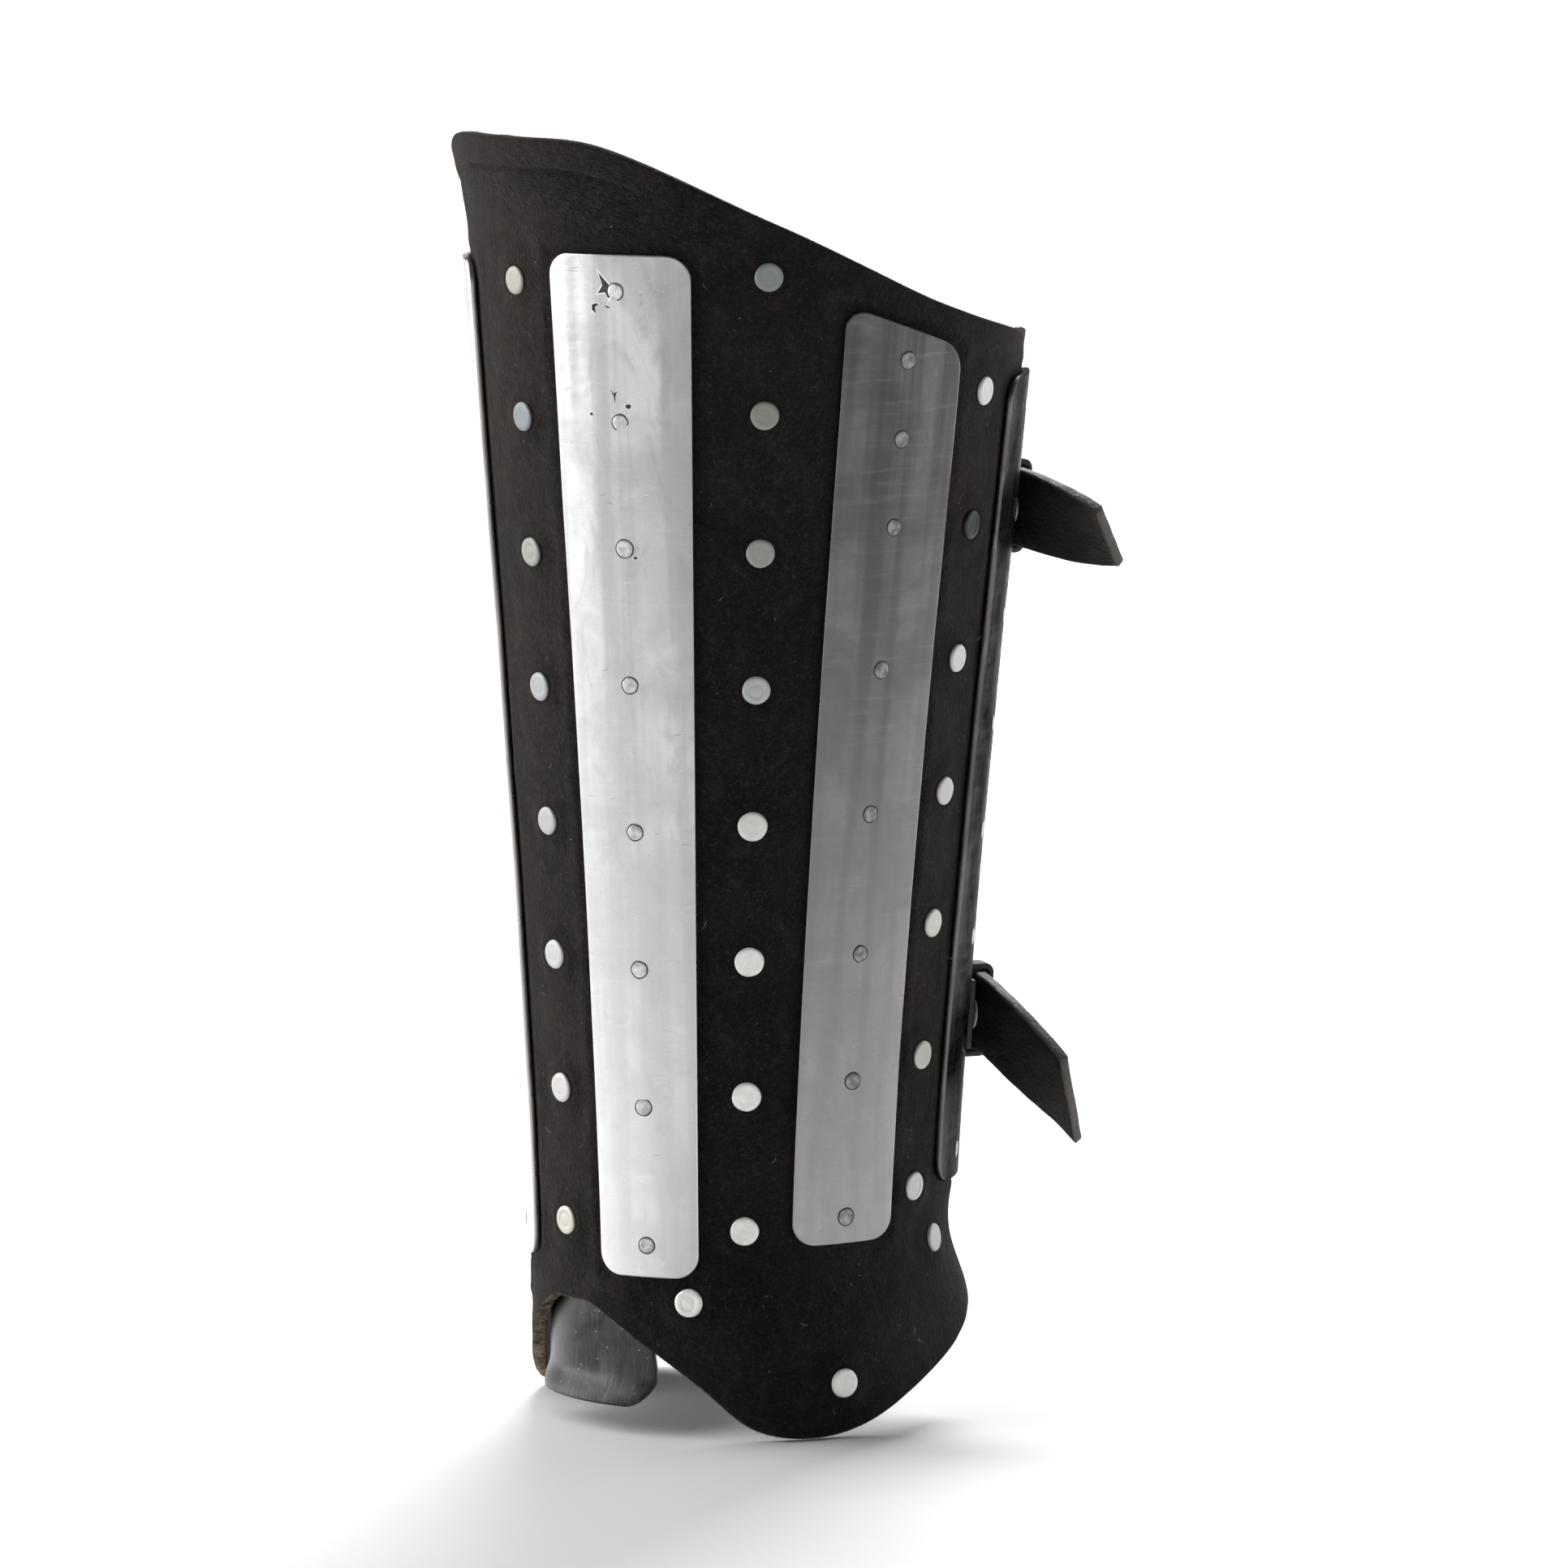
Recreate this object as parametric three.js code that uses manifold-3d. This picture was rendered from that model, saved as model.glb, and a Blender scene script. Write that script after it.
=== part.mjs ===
// Splinted leather greave for the right leg, buckled shut, in millimetres.
// The shin faces -Y, the inner side of the leg +X and the knee +Z, and the
// origin is on the leg's axis at the ankle. A turn is an angle in degrees round
// the leg from the shin, as it is at the calf: below the calf the same turn
// covers less. A lift is a height above the lowest edge of the ankle lobes, and
// out is a distance off the outer face of the leather.
import * as THREE from 'three';
import { mergeVertices } from 'three/addons/utils/BufferGeometryUtils.js';
import Module from 'manifold-3d';

// Leather wrap, measured outside
const HEIGHT = 389;
const CALF_WIDTH = 155;
const CALF_DEPTH = 173;
const ANKLE_WIDTH = 118;
const ANKLE_DEPTH = 131.5;
const LEATHER = 4;
const BACK_TURN = 170;
const CALF_BACK = 4;
const ANKLE_TURN_SHARE = 0.96;
const LOBE_FLARE = 7;
const LOBE_TOP = 0.1465 * HEIGHT;
const LOBE_LIP = 0.077 * HEIGHT;
const KNEE_FLARE = 3;
const KNEE_FLARE_HEIGHT = 28;

// Turns between which the flares come in and die away
const LOBE_FRONT = { from: 30, to: 80 };
const LOBE_BACK = { from: 140, to: 165 };
const KNEE_SIDE = { from: 35, to: 75 };

// Gap between pieces that touch, and the wider one inside the wrap
const CLEARANCE = 0.3;
const LINING_CLEARANCE = 0.5;

// Steel
const SPLINT_THICKNESS = 2;
const SPLINT_CORNER = 7;
const PLATE_THICKNESS = 2;
const PLATE_SPAN = 50;
const PLATE_FOOT_SPAN = 62;
const PLATE_CORNER = 9;
const PLATE_DROP = 31;
const PLATE_FLARE = 3;
const PLATE_HEADROOM = 31;

// Rivets
const DISC_RADIUS = 4.4;
const DISC_HEIGHT = 1.1;
const DISC_CROWN_SHARE = 0.9;
const DISC_RIM_SHARE = 0.85;
const DISC_SHANK_RADIUS = 1.6;
const CLENCH_RADIUS = 2.7;
const CLENCH_HEIGHT = 0.9;
const PEEN_RADIUS = 2.5;
const PEEN_HEIGHT = 0.35;
const PEEN_SHANK_RADIUS = 1.3;

// Straps and buckles
const STRAP_WIDTH = 24;
const STRAP_THICKNESS = 3.5;
const CHAPE_WIDTH = 21;
const CHAPE_THICKNESS = 4.4;
const EDGE_TO_BUCKLE_BAR = 8;
const EDGE_TO_STRAP_RIVET = 8.5;
const EDGE_TO_STRAP_END = 13;
const BUCKLE_REACH = 20;
const BUCKLE_WIDTH = 34;
const BUCKLE_BAR = 3;
const PRONG_RADIUS = 1.3;
const PRONG_SLOT_WIDTH = 4.2;
const PRONG_SLOT_NEAR = 4;
const PRONG_SLOT_FAR = 16;
const KEEPER_WIDTH = 7.5;
const KEEPER_THICKNESS = 1.8;
const KEEPER_EASE = 1.5;

// How far the leg has swelled from the ankle's size to the calf's, by share of the height
const SECTIONS = [
  { at: 0, swell: -0.03 },
  { at: 0.16, swell: 0 },
  { at: 0.343, swell: 0.2 },
  { at: 0.566, swell: 0.53 },
  { at: 0.788, swell: 0.9 },
  { at: 1, swell: 1.22 },
];

// Knee edge, by turn, as a share of the height
const KNEE_EDGE = [
  { turn: 0, at: 1 },
  { turn: 25, at: 0.994 },
  { turn: 60, at: 0.9365 },
  { turn: 98, at: 0.872 },
  { turn: 135, at: 0.8405 },
  { turn: 160, at: 0.834 },
  { turn: BACK_TURN, at: 0.813 },
];

// Ankle edge, with the arch over the instep and a lobe over each ankle bone
const ANKLE_EDGE = [
  { turn: 0, at: 0.099 },
  { turn: 10, at: 0.097 },
  { turn: 30, at: 0.067 },
  { turn: 47, at: 0.0375 },
  { turn: 60, at: 0.009 },
  { turn: 74, at: 0 },
  { turn: 90, at: 0.006 },
  { turn: 112, at: 0.0345 },
  { turn: 137, at: 0.0705 },
  { turn: 154, at: 0.111 },
  { turn: BACK_TURN, at: 0.172 },
];

// Outer splints: turns at head and foot on the inner and the outer side of the leg
// and widths, in degrees, distances to the knee and ankle edges and how far the head
// slants down to the back, as shares of the height, and where the rivets are
const SPLINTS = [
  {
    name: 'front', turn: 27.5, footTurn: 31, outerTurn: 37, outerFootTurn: 34,
    span: 31.5, footSpan: 30,
    above: 0.0591, below: 0.0776, slant: 0,
    rivets: [0.032, 0.169, 0.305, 0.44, 0.584, 0.717, 0.839, 0.965],
  },
  {
    name: 'side', turn: 88.5, footTurn: 87, outerTurn: 88.5, outerFootTurn: 87,
    span: 28.5, footSpan: 31,
    above: 0.144, below: 0.03, slant: 0.0386,
    rivets: [0.03, 0.18, 0.32, 0.473, 0.63, 0.785, 0.88, 0.965],
  },
  {
    name: 'back', turn: 140, footTurn: 140, outerTurn: 140, outerFootTurn: 140,
    span: 30, footSpan: 30,
    above: 0.1028, below: 0.031, slant: 0,
    rivets: [0.035, 0.168, 0.301, 0.434, 0.567, 0.7, 0.833, 0.965],
  },
];

// Rows of disc rivets, with their distances to the ankle and knee edges as shares
const SHIN_ROW = { turn: 0, count: 8, above: 0.0617, below: 0.1105 };
const SIDE_ROWS = [
  { name: 'calf', turn: 58.5, count: 8, above: 0.15, below: 0.0416 },
  { name: 'heel', turn: 113.5, count: 7, above: 0.1465, below: 0.0547 },
];

// Disc rivets on the lobes
const LOBE_RIVETS = [
  { turn: 43, above: 0.0605 },
  { turn: 84.5, above: 0.0395 },
  { turn: 125.5, above: 0.085 },
];

// Straps, by share of the height, with the length and slanted cut of the free tail
// in strap widths, and how many degrees the tail turns out, droops and rolls
const STRAPS = [
  { name: 'upper', at: 0.6935, tail: 1.9, cut: 0.25, turnOut: 17, droop: 12, roll: 42 },
  { name: 'lower', at: 0.298, tail: 2.1, cut: 0.83, turnOut: 32, droop: 45, roll: 45 },
];

// Facets
const LEATHER_TURNS = [
  5, 15.5, 25.5, 35.5, 46, 54, 63, 72.5, 82, 92, 101, 109, 118, 131.5, 137, 144.5, 157, BACK_TURN,
];
const LOBE_ROWS = 4;
const WRAP_ROWS = [0.16, 0.36, 0.56, 0.76, 0.92, 1];
const STRIP_COLUMNS = 5;
const SPLINT_ROWS = 4;
const PLATE_ROWS = 8;
const CORNER_ROWS = 2;
const DISC_SIDES = 8;
const PEEN_SIDES = 6;
const DRILL_SIDES = 4;
const STRAP_STEPS = 22;
const TAIL_STEPS = 5;
const RING_STEPS = 1;
const EYE_SIDES = 8;

// The origin is at the ankle's section
const ORIGIN_LIFT = 0.14 * HEIGHT;

const COLOURS = {
  suede: { color: 0x1c191a, roughness: 0.95, metalness: 0 },
  strap: { color: 0x222021, roughness: 0.7, metalness: 0 },
  splint: { color: 0xb9babb, roughness: 0.4, metalness: 1 },
  plate: { color: 0x8b8d8e, roughness: 0.4, metalness: 1 },
  disc: { color: 0xc9c6bf, roughness: 0.45, metalness: 1 },
  buckle: { color: 0xa9a9a8, roughness: 0.35, metalness: 1 },
};

const { degToRad, radToDeg, lerp, smoothstep } = THREE.MathUtils;
const wasm = await Module();
wasm.setup();

// Reads a column smoothly between the rows of a table
function read(table, key, column, place) {
  const last = table.length - 1;
  const slopeAt = (row) => {
    const before = table[Math.max(row - 1, 0)];
    const after = table[Math.min(row + 1, last)];
    return (after[column] - before[column]) / (after[key] - before[key]);
  };
  const row = Math.max(0, Math.min(last - 1, table.findIndex((r) => r[key] > place) - 1));
  const start = place < table[last][key] ? row : last - 1;
  const [a, b] = [table[start], table[start + 1]];
  const step = b[key] - a[key];
  const t = THREE.MathUtils.clamp((place - a[key]) / step, 0, 1);
  const bend = t * t * (3 - 2 * t);
  return lerp(a[column], b[column], bend)
    + step * t * (1 - t) * ((1 - t) * slopeAt(start) - t * slopeAt(start + 1));
}

// Surface of the leg
const swellAt = (lift) => read(SECTIONS, 'at', 'swell', lift / HEIGHT);
const kneeEdge = (turn) => HEIGHT * read(KNEE_EDGE, 'turn', 'at', Math.abs(turn));
const ankleEdge = (turn) => HEIGHT * read(ANKLE_EDGE, 'turn', 'at', Math.abs(turn));
const turnShareAt = (lift) => lerp(ANKLE_TURN_SHARE, 1, swellAt(lift));
const halfWidthAt = (lift) => lerp(ANKLE_WIDTH, CALF_WIDTH, swellAt(lift)) / 2;
const halfDepthAt = (lift) => lerp(ANKLE_DEPTH, CALF_DEPTH, swellAt(lift)) / 2;

// How far the lobes stand off the ankle and the knee edge off the shin
function flareAt(turn, lift) {
  const side = Math.abs(turn);
  const overAnkle = smoothstep(side, LOBE_FRONT.from, LOBE_FRONT.to)
    * (1 - smoothstep(side, LOBE_BACK.from, LOBE_BACK.to));
  const nearLobe = 1 - smoothstep(lift, LOBE_LIP, LOBE_TOP);
  const overShin = 1 - smoothstep(side, KNEE_SIDE.from, KNEE_SIDE.to);
  const nearKneeEdge = smoothstep(lift - kneeEdge(side), -KNEE_FLARE_HEIGHT, KNEE_FLARE_HEIGHT);
  return LOBE_FLARE * overAnkle * nearLobe + 2 * KNEE_FLARE * overShin * nearKneeEdge;
}

function atAngle(angle, lift, out) {
  const reach = out + flareAt(angle / turnShareAt(lift), lift);
  return new THREE.Vector3(
    (halfWidthAt(lift) + reach) * Math.sin(degToRad(angle)),
    -(halfDepthAt(lift) + reach) * Math.cos(degToRad(angle)) + CALF_BACK * swellAt(lift),
    lift - ORIGIN_LIFT,
  );
}

const onLeg = (turn, lift, out) => atAngle(turn * turnShareAt(lift), lift, out);

// Bends a box of columns and rows: place gets the shares across, up and outward
function bentBox(columns, rows, place) {
  const box = new THREE.BoxGeometry(1, 1, 1, columns, rows, 1);
  const corners = box.getAttribute('position');
  const share = new THREE.Vector3();
  for (let i = 0; i < corners.count; i++) {
    share.fromBufferAttribute(corners, i).addScalar(0.5);
    corners.setXYZ(i, ...place(share.x, share.y, share.z));
  }
  return box;
}

// Turns a closed geometry into a solid for cutting and joining
function solidOf(geometry) {
  const bare = geometry.clone();
  bare.deleteAttribute('normal');
  bare.deleteAttribute('uv');
  const merged = mergeVertices(bare, 1e-3);
  return new wasm.Manifold(new wasm.Mesh({
    numProp: 3,
    vertProperties: merged.getAttribute('position').array,
    triVerts: new Uint32Array(merged.index.array),
  }));
}

function geometryOf(solid) {
  const mesh = solid.getMesh();
  const geometry = new THREE.BufferGeometry();
  geometry.setAttribute('position', new THREE.BufferAttribute(mesh.vertProperties, 3));
  geometry.setIndex(new THREE.BufferAttribute(mesh.triVerts, 1));
  geometry.computeVertexNormals();
  return geometry;
}

const joined = (geometries) => geometries.map(solidOf).reduce((a, b) => a.add(b));
const cut = (geometry, tools) => geometryOf(solidOf(geometry).subtract(joined(tools)));

// Place on the leg with its own Y axis pointing straight out of the face
function seatAt(turn, lift, out) {
  const here = onLeg(turn, lift, 0);
  const round = onLeg(turn + 0.5, lift, 0).sub(here);
  const up = onLeg(turn, lift + 1, 0).sub(here);
  const outward = round.cross(up).normalize();
  const seat = new THREE.Object3D();
  seat.position.copy(here).addScaledVector(outward, out);
  seat.quaternion.setFromUnitVectors(new THREE.Vector3(0, 1, 0), outward);
  seat.updateMatrix();
  return seat;
}

const seated = (geometry, seat) => geometry.clone().applyMatrix4(seat.matrix);

function turned(outline, sides) {
  return new THREE.LatheGeometry(outline.map(([x, y]) => new THREE.Vector2(x, y)), sides);
}

// Disc rivet whose head sits on out = 0 and whose grip reaches in to its clenched end
function discRivet(grip) {
  return turned([
    [0, -grip - CLENCH_HEIGHT],
    [CLENCH_RADIUS, -grip - CLENCH_HEIGHT],
    [DISC_SHANK_RADIUS, -grip],
    [DISC_SHANK_RADIUS, 0],
    [DISC_RADIUS, 0],
    [DISC_CROWN_SHARE * DISC_RADIUS, DISC_RIM_SHARE * DISC_HEIGHT],
    [0, DISC_HEIGHT],
  ], DISC_SIDES);
}

// Small rivet peened into a splint whose outer face is at out = 0
function peenedHead() {
  const root = -SPLINT_THICKNESS / 2;
  return turned([
    [0, root], [PEEN_RADIUS, root], [PEEN_RADIUS, PEEN_HEIGHT], [0, PEEN_HEIGHT],
  ], PEEN_SIDES);
}

function peenedShank(grip) {
  const root = -SPLINT_THICKNESS / 2;
  return turned([
    [0, -grip], [PEEN_SHANK_RADIUS, -grip], [PEEN_SHANK_RADIUS, root], [0, root],
  ], PEEN_SIDES);
}

// Drill with clearance for a shank; its corners stand outside the shank
function drill(shankRadius, reach) {
  const radius = (shankRadius + CLEARANCE) / Math.cos(Math.PI / DRILL_SIDES);
  return turned([[0, -reach], [radius, -reach], [radius, reach], [0, reach]], DRILL_SIDES);
}

const model = new THREE.Group();

function addPiece(name, geometry, finish, seat) {
  const mesh = new THREE.Mesh(geometry, new THREE.MeshStandardMaterial(finish));
  mesh.name = name;
  if (seat) {
    mesh.position.copy(seat.position);
    mesh.quaternion.copy(seat.quaternion);
  }
  model.add(mesh);
}

// Strip of steel bent to the leg, with rounded corners. turn and half give the place
// of its middle and its half width in degrees by lift, and top the lift of its head by turn.
function bentStrip({ turn, half, low, high, top, corner, thickness, out, bodyRows }) {
  const rows = 2 * CORNER_ROWS + bodyRows;
  return bentBox(STRIP_COLUMNS, rows, (across, up, outward) => {
    const row = Math.round(up * rows);
    const fromEnd = Math.min(row, rows - row);
    const round = Math.PI / 2 * Math.min(1, fromEnd / CORNER_ROWS);
    const inset = corner * (1 - Math.sin(round));
    const nearEnd = corner * (1 - Math.cos(round));
    const body = (row - CORNER_ROWS) / bodyRows;
    const share = fromEnd < CORNER_ROWS
      ? (row === fromEnd ? nearEnd / (high - low) : 1 - nearEnd / (high - low))
      : lerp(corner / (high - low), 1 - corner / (high - low), body);
    const middle = lerp(low, high, share);
    const halfTurn = half(middle) - radToDeg(inset / halfWidthAt(middle));
    const there = turn(middle) + halfTurn * (2 * across - 1);
    const lift = lerp(low, top(there), share);
    return onLeg(there, lift, out + thickness * outward);
  });
}

// Outer splints, three to each side, with their small rivets in one solid.
// The rivet at each end of a splint reaches through the leather.
const leatherHoles = [];
for (const side of [1, -1]) {
  for (const splint of SPLINTS) {
    const low = ankleEdge(splint.footTurn) + HEIGHT * splint.above;
    const headTurn = side > 0 ? splint.turn : splint.outerTurn;
    const footTurn = side > 0 ? splint.footTurn : splint.outerFootTurn;
    const high = kneeEdge(headTurn) - HEIGHT * splint.below;
    const shareAt = (lift) => (lift - low) / (high - low);
    const turn = (lift) => side * lerp(footTurn, headTurn, shareAt(lift));
    const slope = HEIGHT * splint.slant / splint.span;
    const strip = bentStrip({
      turn,
      half: (lift) => lerp(splint.footSpan, splint.span, shareAt(lift)) / 2,
      low,
      high,
      top: (there) => high - slope * (Math.abs(there) - headTurn),
      corner: SPLINT_CORNER,
      thickness: SPLINT_THICKNESS,
      out: CLEARANCE,
      bodyRows: SPLINT_ROWS,
    });
    const rivets = splint.rivets.flatMap((share, i) => {
      const lift = lerp(low, high, share);
      const seat = seatAt(turn(lift), lift, CLEARANCE + SPLINT_THICKNESS);
      const head = seated(peenedHead(), seat);
      const through = i === 0 || i === splint.rivets.length - 1;
      if (!through) return [head];
      leatherHoles.push(seated(drill(PEEN_SHANK_RADIUS, 2 * LEATHER), seatAt(turn(lift), lift, 0)));
      return [head, seated(peenedShank(CLEARANCE + SPLINT_THICKNESS + LEATHER), seat)];
    });
    const where = side > 0 ? 'medial' : 'lateral';
    addPiece(`splint_${splint.name}_${where}`, geometryOf(joined([strip, ...rivets])), COLOURS.splint);
  }
}

// Lifts of a row of rivets, evenly spaced between the two edges
function rowLifts({ turn, count, above, below }) {
  const low = ankleEdge(turn) + HEIGHT * above;
  const high = kneeEdge(turn) - HEIGHT * below;
  return Array.from({ length: count }, (_, i) => lerp(low, high, i / (count - 1)));
}

const discGrip = 2 * CLEARANCE + LEATHER;
const drillDisc = (seat) => leatherHoles.push(seated(drill(DISC_SHANK_RADIUS, 2 * LEATHER), seat));

// Shin plate inside the leather, with the front row of disc rivets in one solid
{
  const splintFoot = ankleEdge(SPLINTS[0].footTurn) + HEIGHT * SPLINTS[0].above;
  const foot = ankleEdge(0) - PLATE_DROP;
  const head = kneeEdge(0) - PLATE_HEADROOM;
  const out = -LEATHER - LINING_CLEARANCE - PLATE_THICKNESS;
  const strip = bentStrip({
    turn: () => 0,
    half: (lift) => lerp(PLATE_FOOT_SPAN, PLATE_SPAN, smoothstep(lift, foot + PLATE_CORNER, splintFoot)) / 2,
    low: foot,
    high: head,
    top: () => head,
    corner: PLATE_CORNER,
    thickness: PLATE_THICKNESS,
    out,
    bodyRows: PLATE_ROWS,
  });
  const corners = strip.getAttribute('position');
  for (let i = 0; i < corners.count; i++) {
    const lift = corners.getZ(i) + ORIGIN_LIFT;
    const flare = PLATE_FLARE * (1 - smoothstep(lift, foot, foot + PLATE_CORNER));
    corners.setY(i, corners.getY(i) - flare);
  }
  const rivets = rowLifts(SHIN_ROW).map((lift) => {
    drillDisc(seatAt(0, lift, 0));
    const grip = CLEARANCE + LEATHER + LINING_CLEARANCE + PLATE_THICKNESS;
    return seated(discRivet(grip), seatAt(0, lift, CLEARANCE));
  });
  addPiece('shin_plate', geometryOf(joined([strip, ...rivets])), COLOURS.plate);
}

// Disc rivets on both sides: two rows between the splints and three on each lobe
for (const side of [1, -1]) {
  const where = side > 0 ? 'medial' : 'lateral';
  const addDisc = (name, turn, lift) => {
    drillDisc(seatAt(turn, lift, 0));
    addPiece(name, discRivet(discGrip), COLOURS.disc, seatAt(turn, lift, CLEARANCE));
  };
  for (const row of SIDE_ROWS) {
    rowLifts(row).forEach((lift, i) => {
      addDisc(`rivet_${row.name}_${where}_${i + 1}`, side * row.turn, lift);
    });
  }
  LOBE_RIVETS.forEach(({ turn, above }, i) => {
    addDisc(`rivet_lobe_${where}_${i + 1}`, side * turn, ankleEdge(turn) + HEIGHT * above);
  });
}

// Places on a strap: along is measured round the back of the leg from its middle
// towards the inner side, across up the leg
function strapPlaces(lift) {
  const toAngle = (along) => 180 - radToDeg(along / halfWidthAt(lift));
  const onStrap = (along, across, out) => atAngle(toAngle(along), lift + across, out);
  const seat = (along, out) => seatAt(toAngle(along) / turnShareAt(lift), lift, out);
  const edge = degToRad(180 - BACK_TURN * turnShareAt(lift)) * halfWidthAt(lift);
  return { onStrap, seat, edge };
}

// Bends a geometry that was made flat, with X along the strap, Y across and Z out
function bendToStrap(geometry, onStrap) {
  const corners = geometry.getAttribute('position');
  for (let i = 0; i < corners.count; i++) {
    corners.setXYZ(i, ...onStrap(corners.getX(i), -corners.getY(i), corners.getZ(i)));
  }
  return geometry;
}

for (const strap of STRAPS) {
  const lift = strap.at * HEIGHT;
  const { onStrap, seat, edge } = strapPlaces(lift);

  // Places along the strap
  const bar = edge - EDGE_TO_BUCKLE_BAR;
  const farBar = bar - BUCKLE_REACH;
  const eyeHole = BUCKLE_BAR * Math.SQRT1_2 / Math.cos(Math.PI / EYE_SIDES) + CLEARANCE;
  const eyeRadius = eyeHole + CHAPE_THICKNESS / 2;
  const keeper = bar + eyeRadius + KEEPER_EASE + KEEPER_WIDTH / 2;
  const tailStart = keeper + KEEPER_WIDTH / 2;

  // Distances out
  const barOut = CLEARANCE + eyeRadius;
  const farBarOut = 2 * CLEARANCE + STRAP_THICKNESS + BUCKLE_BAR / 2;
  const overEye = CLEARANCE + 2 * eyeRadius + CLEARANCE;
  const overRivet = CLEARANCE + CHAPE_THICKNESS + CLEARANCE + DISC_HEIGHT + CLEARANCE;

  // The strap runs flat on the leather, under the far bar and up over the folded chape
  const climb = (along) => {
    const rise = smoothstep(along, farBar + BUCKLE_BAR, bar - eyeRadius / 2);
    const fall = smoothstep(along, bar + eyeRadius / 2, keeper - KEEPER_WIDTH / 2 - CLEARANCE);
    return lerp(lerp(CLEARANCE, overEye, rise), overRivet, fall);
  };
  const anchorEnd = -edge - EDGE_TO_STRAP_END;
  const stations = [];
  for (let i = 0; i <= STRAP_STEPS; i++) {
    const along = lerp(anchorEnd, tailStart, i / STRAP_STEPS);
    const out = climb(along);
    const middle = onStrap(along, 0, out);
    const across = onStrap(along, -1, out).sub(middle);
    const outward = onStrap(along, 0, out + 1).sub(middle);
    stations.push({ middle, across, outward });
  }

  // The free tail turns away from the leg, droops and rolls its lower edge out
  let here = stations[STRAP_STEPS];
  const heading = here.middle.clone().sub(stations[STRAP_STEPS - 1].middle).setZ(0).normalize();
  const away = here.outward.clone().setZ(0).normalize();
  const step = STRAP_WIDTH * strap.tail / TAIL_STEPS;
  for (let i = 1; i <= TAIL_STEPS; i++) {
    const share = (i - 0.5) / TAIL_STEPS;
    const out = degToRad(strap.turnOut * share * 2);
    const down = degToRad(strap.droop * share * (2 - share));
    const direction = heading.clone().multiplyScalar(Math.cos(out) * Math.cos(down))
      .addScaledVector(away, Math.sin(out) * Math.cos(down))
      .addScaledVector(new THREE.Vector3(0, 0, -1), Math.sin(down))
      .normalize();
    const across = new THREE.Vector3(0, 0, -1);
    across.addScaledVector(direction, -across.dot(direction)).normalize();
    across.applyAxisAngle(direction, degToRad(strap.roll * share * share));
    here = {
      middle: here.middle.clone().addScaledVector(direction, step),
      across,
      outward: direction.clone().cross(across).normalize(),
      direction,
    };
    stations.push(here);
  }
  const steps = stations.length - 1;
  const band = bentBox(steps, 1, (length, width, outward) => {
    const row = Math.round(length * steps);
    const { middle, across, outward: normal, direction } = stations[row];
    const point = middle.clone()
      .addScaledVector(across, STRAP_WIDTH * (width - 0.5))
      .addScaledVector(normal, STRAP_THICKNESS * outward);
    if (row === steps) point.addScaledVector(direction, STRAP_WIDTH * strap.cut * (width - 0.5));
    return point;
  });
  const slotCutter = bendToStrap(
    new THREE.BoxGeometry(PRONG_SLOT_FAR - PRONG_SLOT_NEAR, PRONG_SLOT_WIDTH, 4 * overEye)
      .translate(bar - (PRONG_SLOT_NEAR + PRONG_SLOT_FAR) / 2, 0, overEye),
    onStrap,
  );
  const anchor = -edge - EDGE_TO_STRAP_RIVET;
  const chapeRivet = edge + EDGE_TO_STRAP_RIVET;
  const drillAt = (along) => seated(drill(DISC_SHANK_RADIUS, 3 * LEATHER), seat(along, 0));
  leatherHoles.push(drillAt(anchor), drillAt(chapeRivet));
  addPiece(`strap_${strap.name}`, cut(band, [slotCutter, drillAt(anchor)]), COLOURS.strap);

  // Chape: leather folded round the buckle's bar, notched below for the keeper
  const side = new THREE.Shape();
  const slabTop = CLEARANCE + CHAPE_THICKNESS;
  const chapeEnd = edge + EDGE_TO_STRAP_END;
  const notch = KEEPER_WIDTH / 2 + CLEARANCE;
  const notchTop = 2 * CLEARANCE + KEEPER_THICKNESS;
  side.moveTo(chapeEnd, CLEARANCE);
  side.lineTo(chapeEnd, slabTop);
  side.lineTo(bar + eyeRadius, slabTop);
  side.absarc(bar, barOut, eyeRadius, 0, 1.5 * Math.PI, false);
  side.lineTo(keeper - notch, CLEARANCE);
  side.lineTo(keeper - notch, notchTop);
  side.lineTo(keeper + notch, notchTop);
  side.lineTo(keeper + notch, CLEARANCE);
  const eye = new THREE.Path();
  eye.absarc(bar, barOut, eyeHole, 0, 2 * Math.PI, false);
  side.holes.push(eye);
  const flat = { depth: CHAPE_WIDTH, bevelEnabled: false, curveSegments: EYE_SIDES / 2 };
  const chape = new THREE.ExtrudeGeometry(side, flat)
    .translate(0, 0, -CHAPE_WIDTH / 2)
    .rotateX(Math.PI / 2);
  const tongueGap = new THREE.BoxGeometry(2 * eyeRadius, PRONG_SLOT_WIDTH, 4 * eyeRadius)
    .translate(bar - eyeRadius / 2, 0, barOut);
  addPiece(
    `chape_${strap.name}`,
    cut(bendToStrap(chape, onStrap), [bendToStrap(tongueGap, onStrap), drillAt(chapeRivet)]),
    COLOURS.strap,
  );

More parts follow.
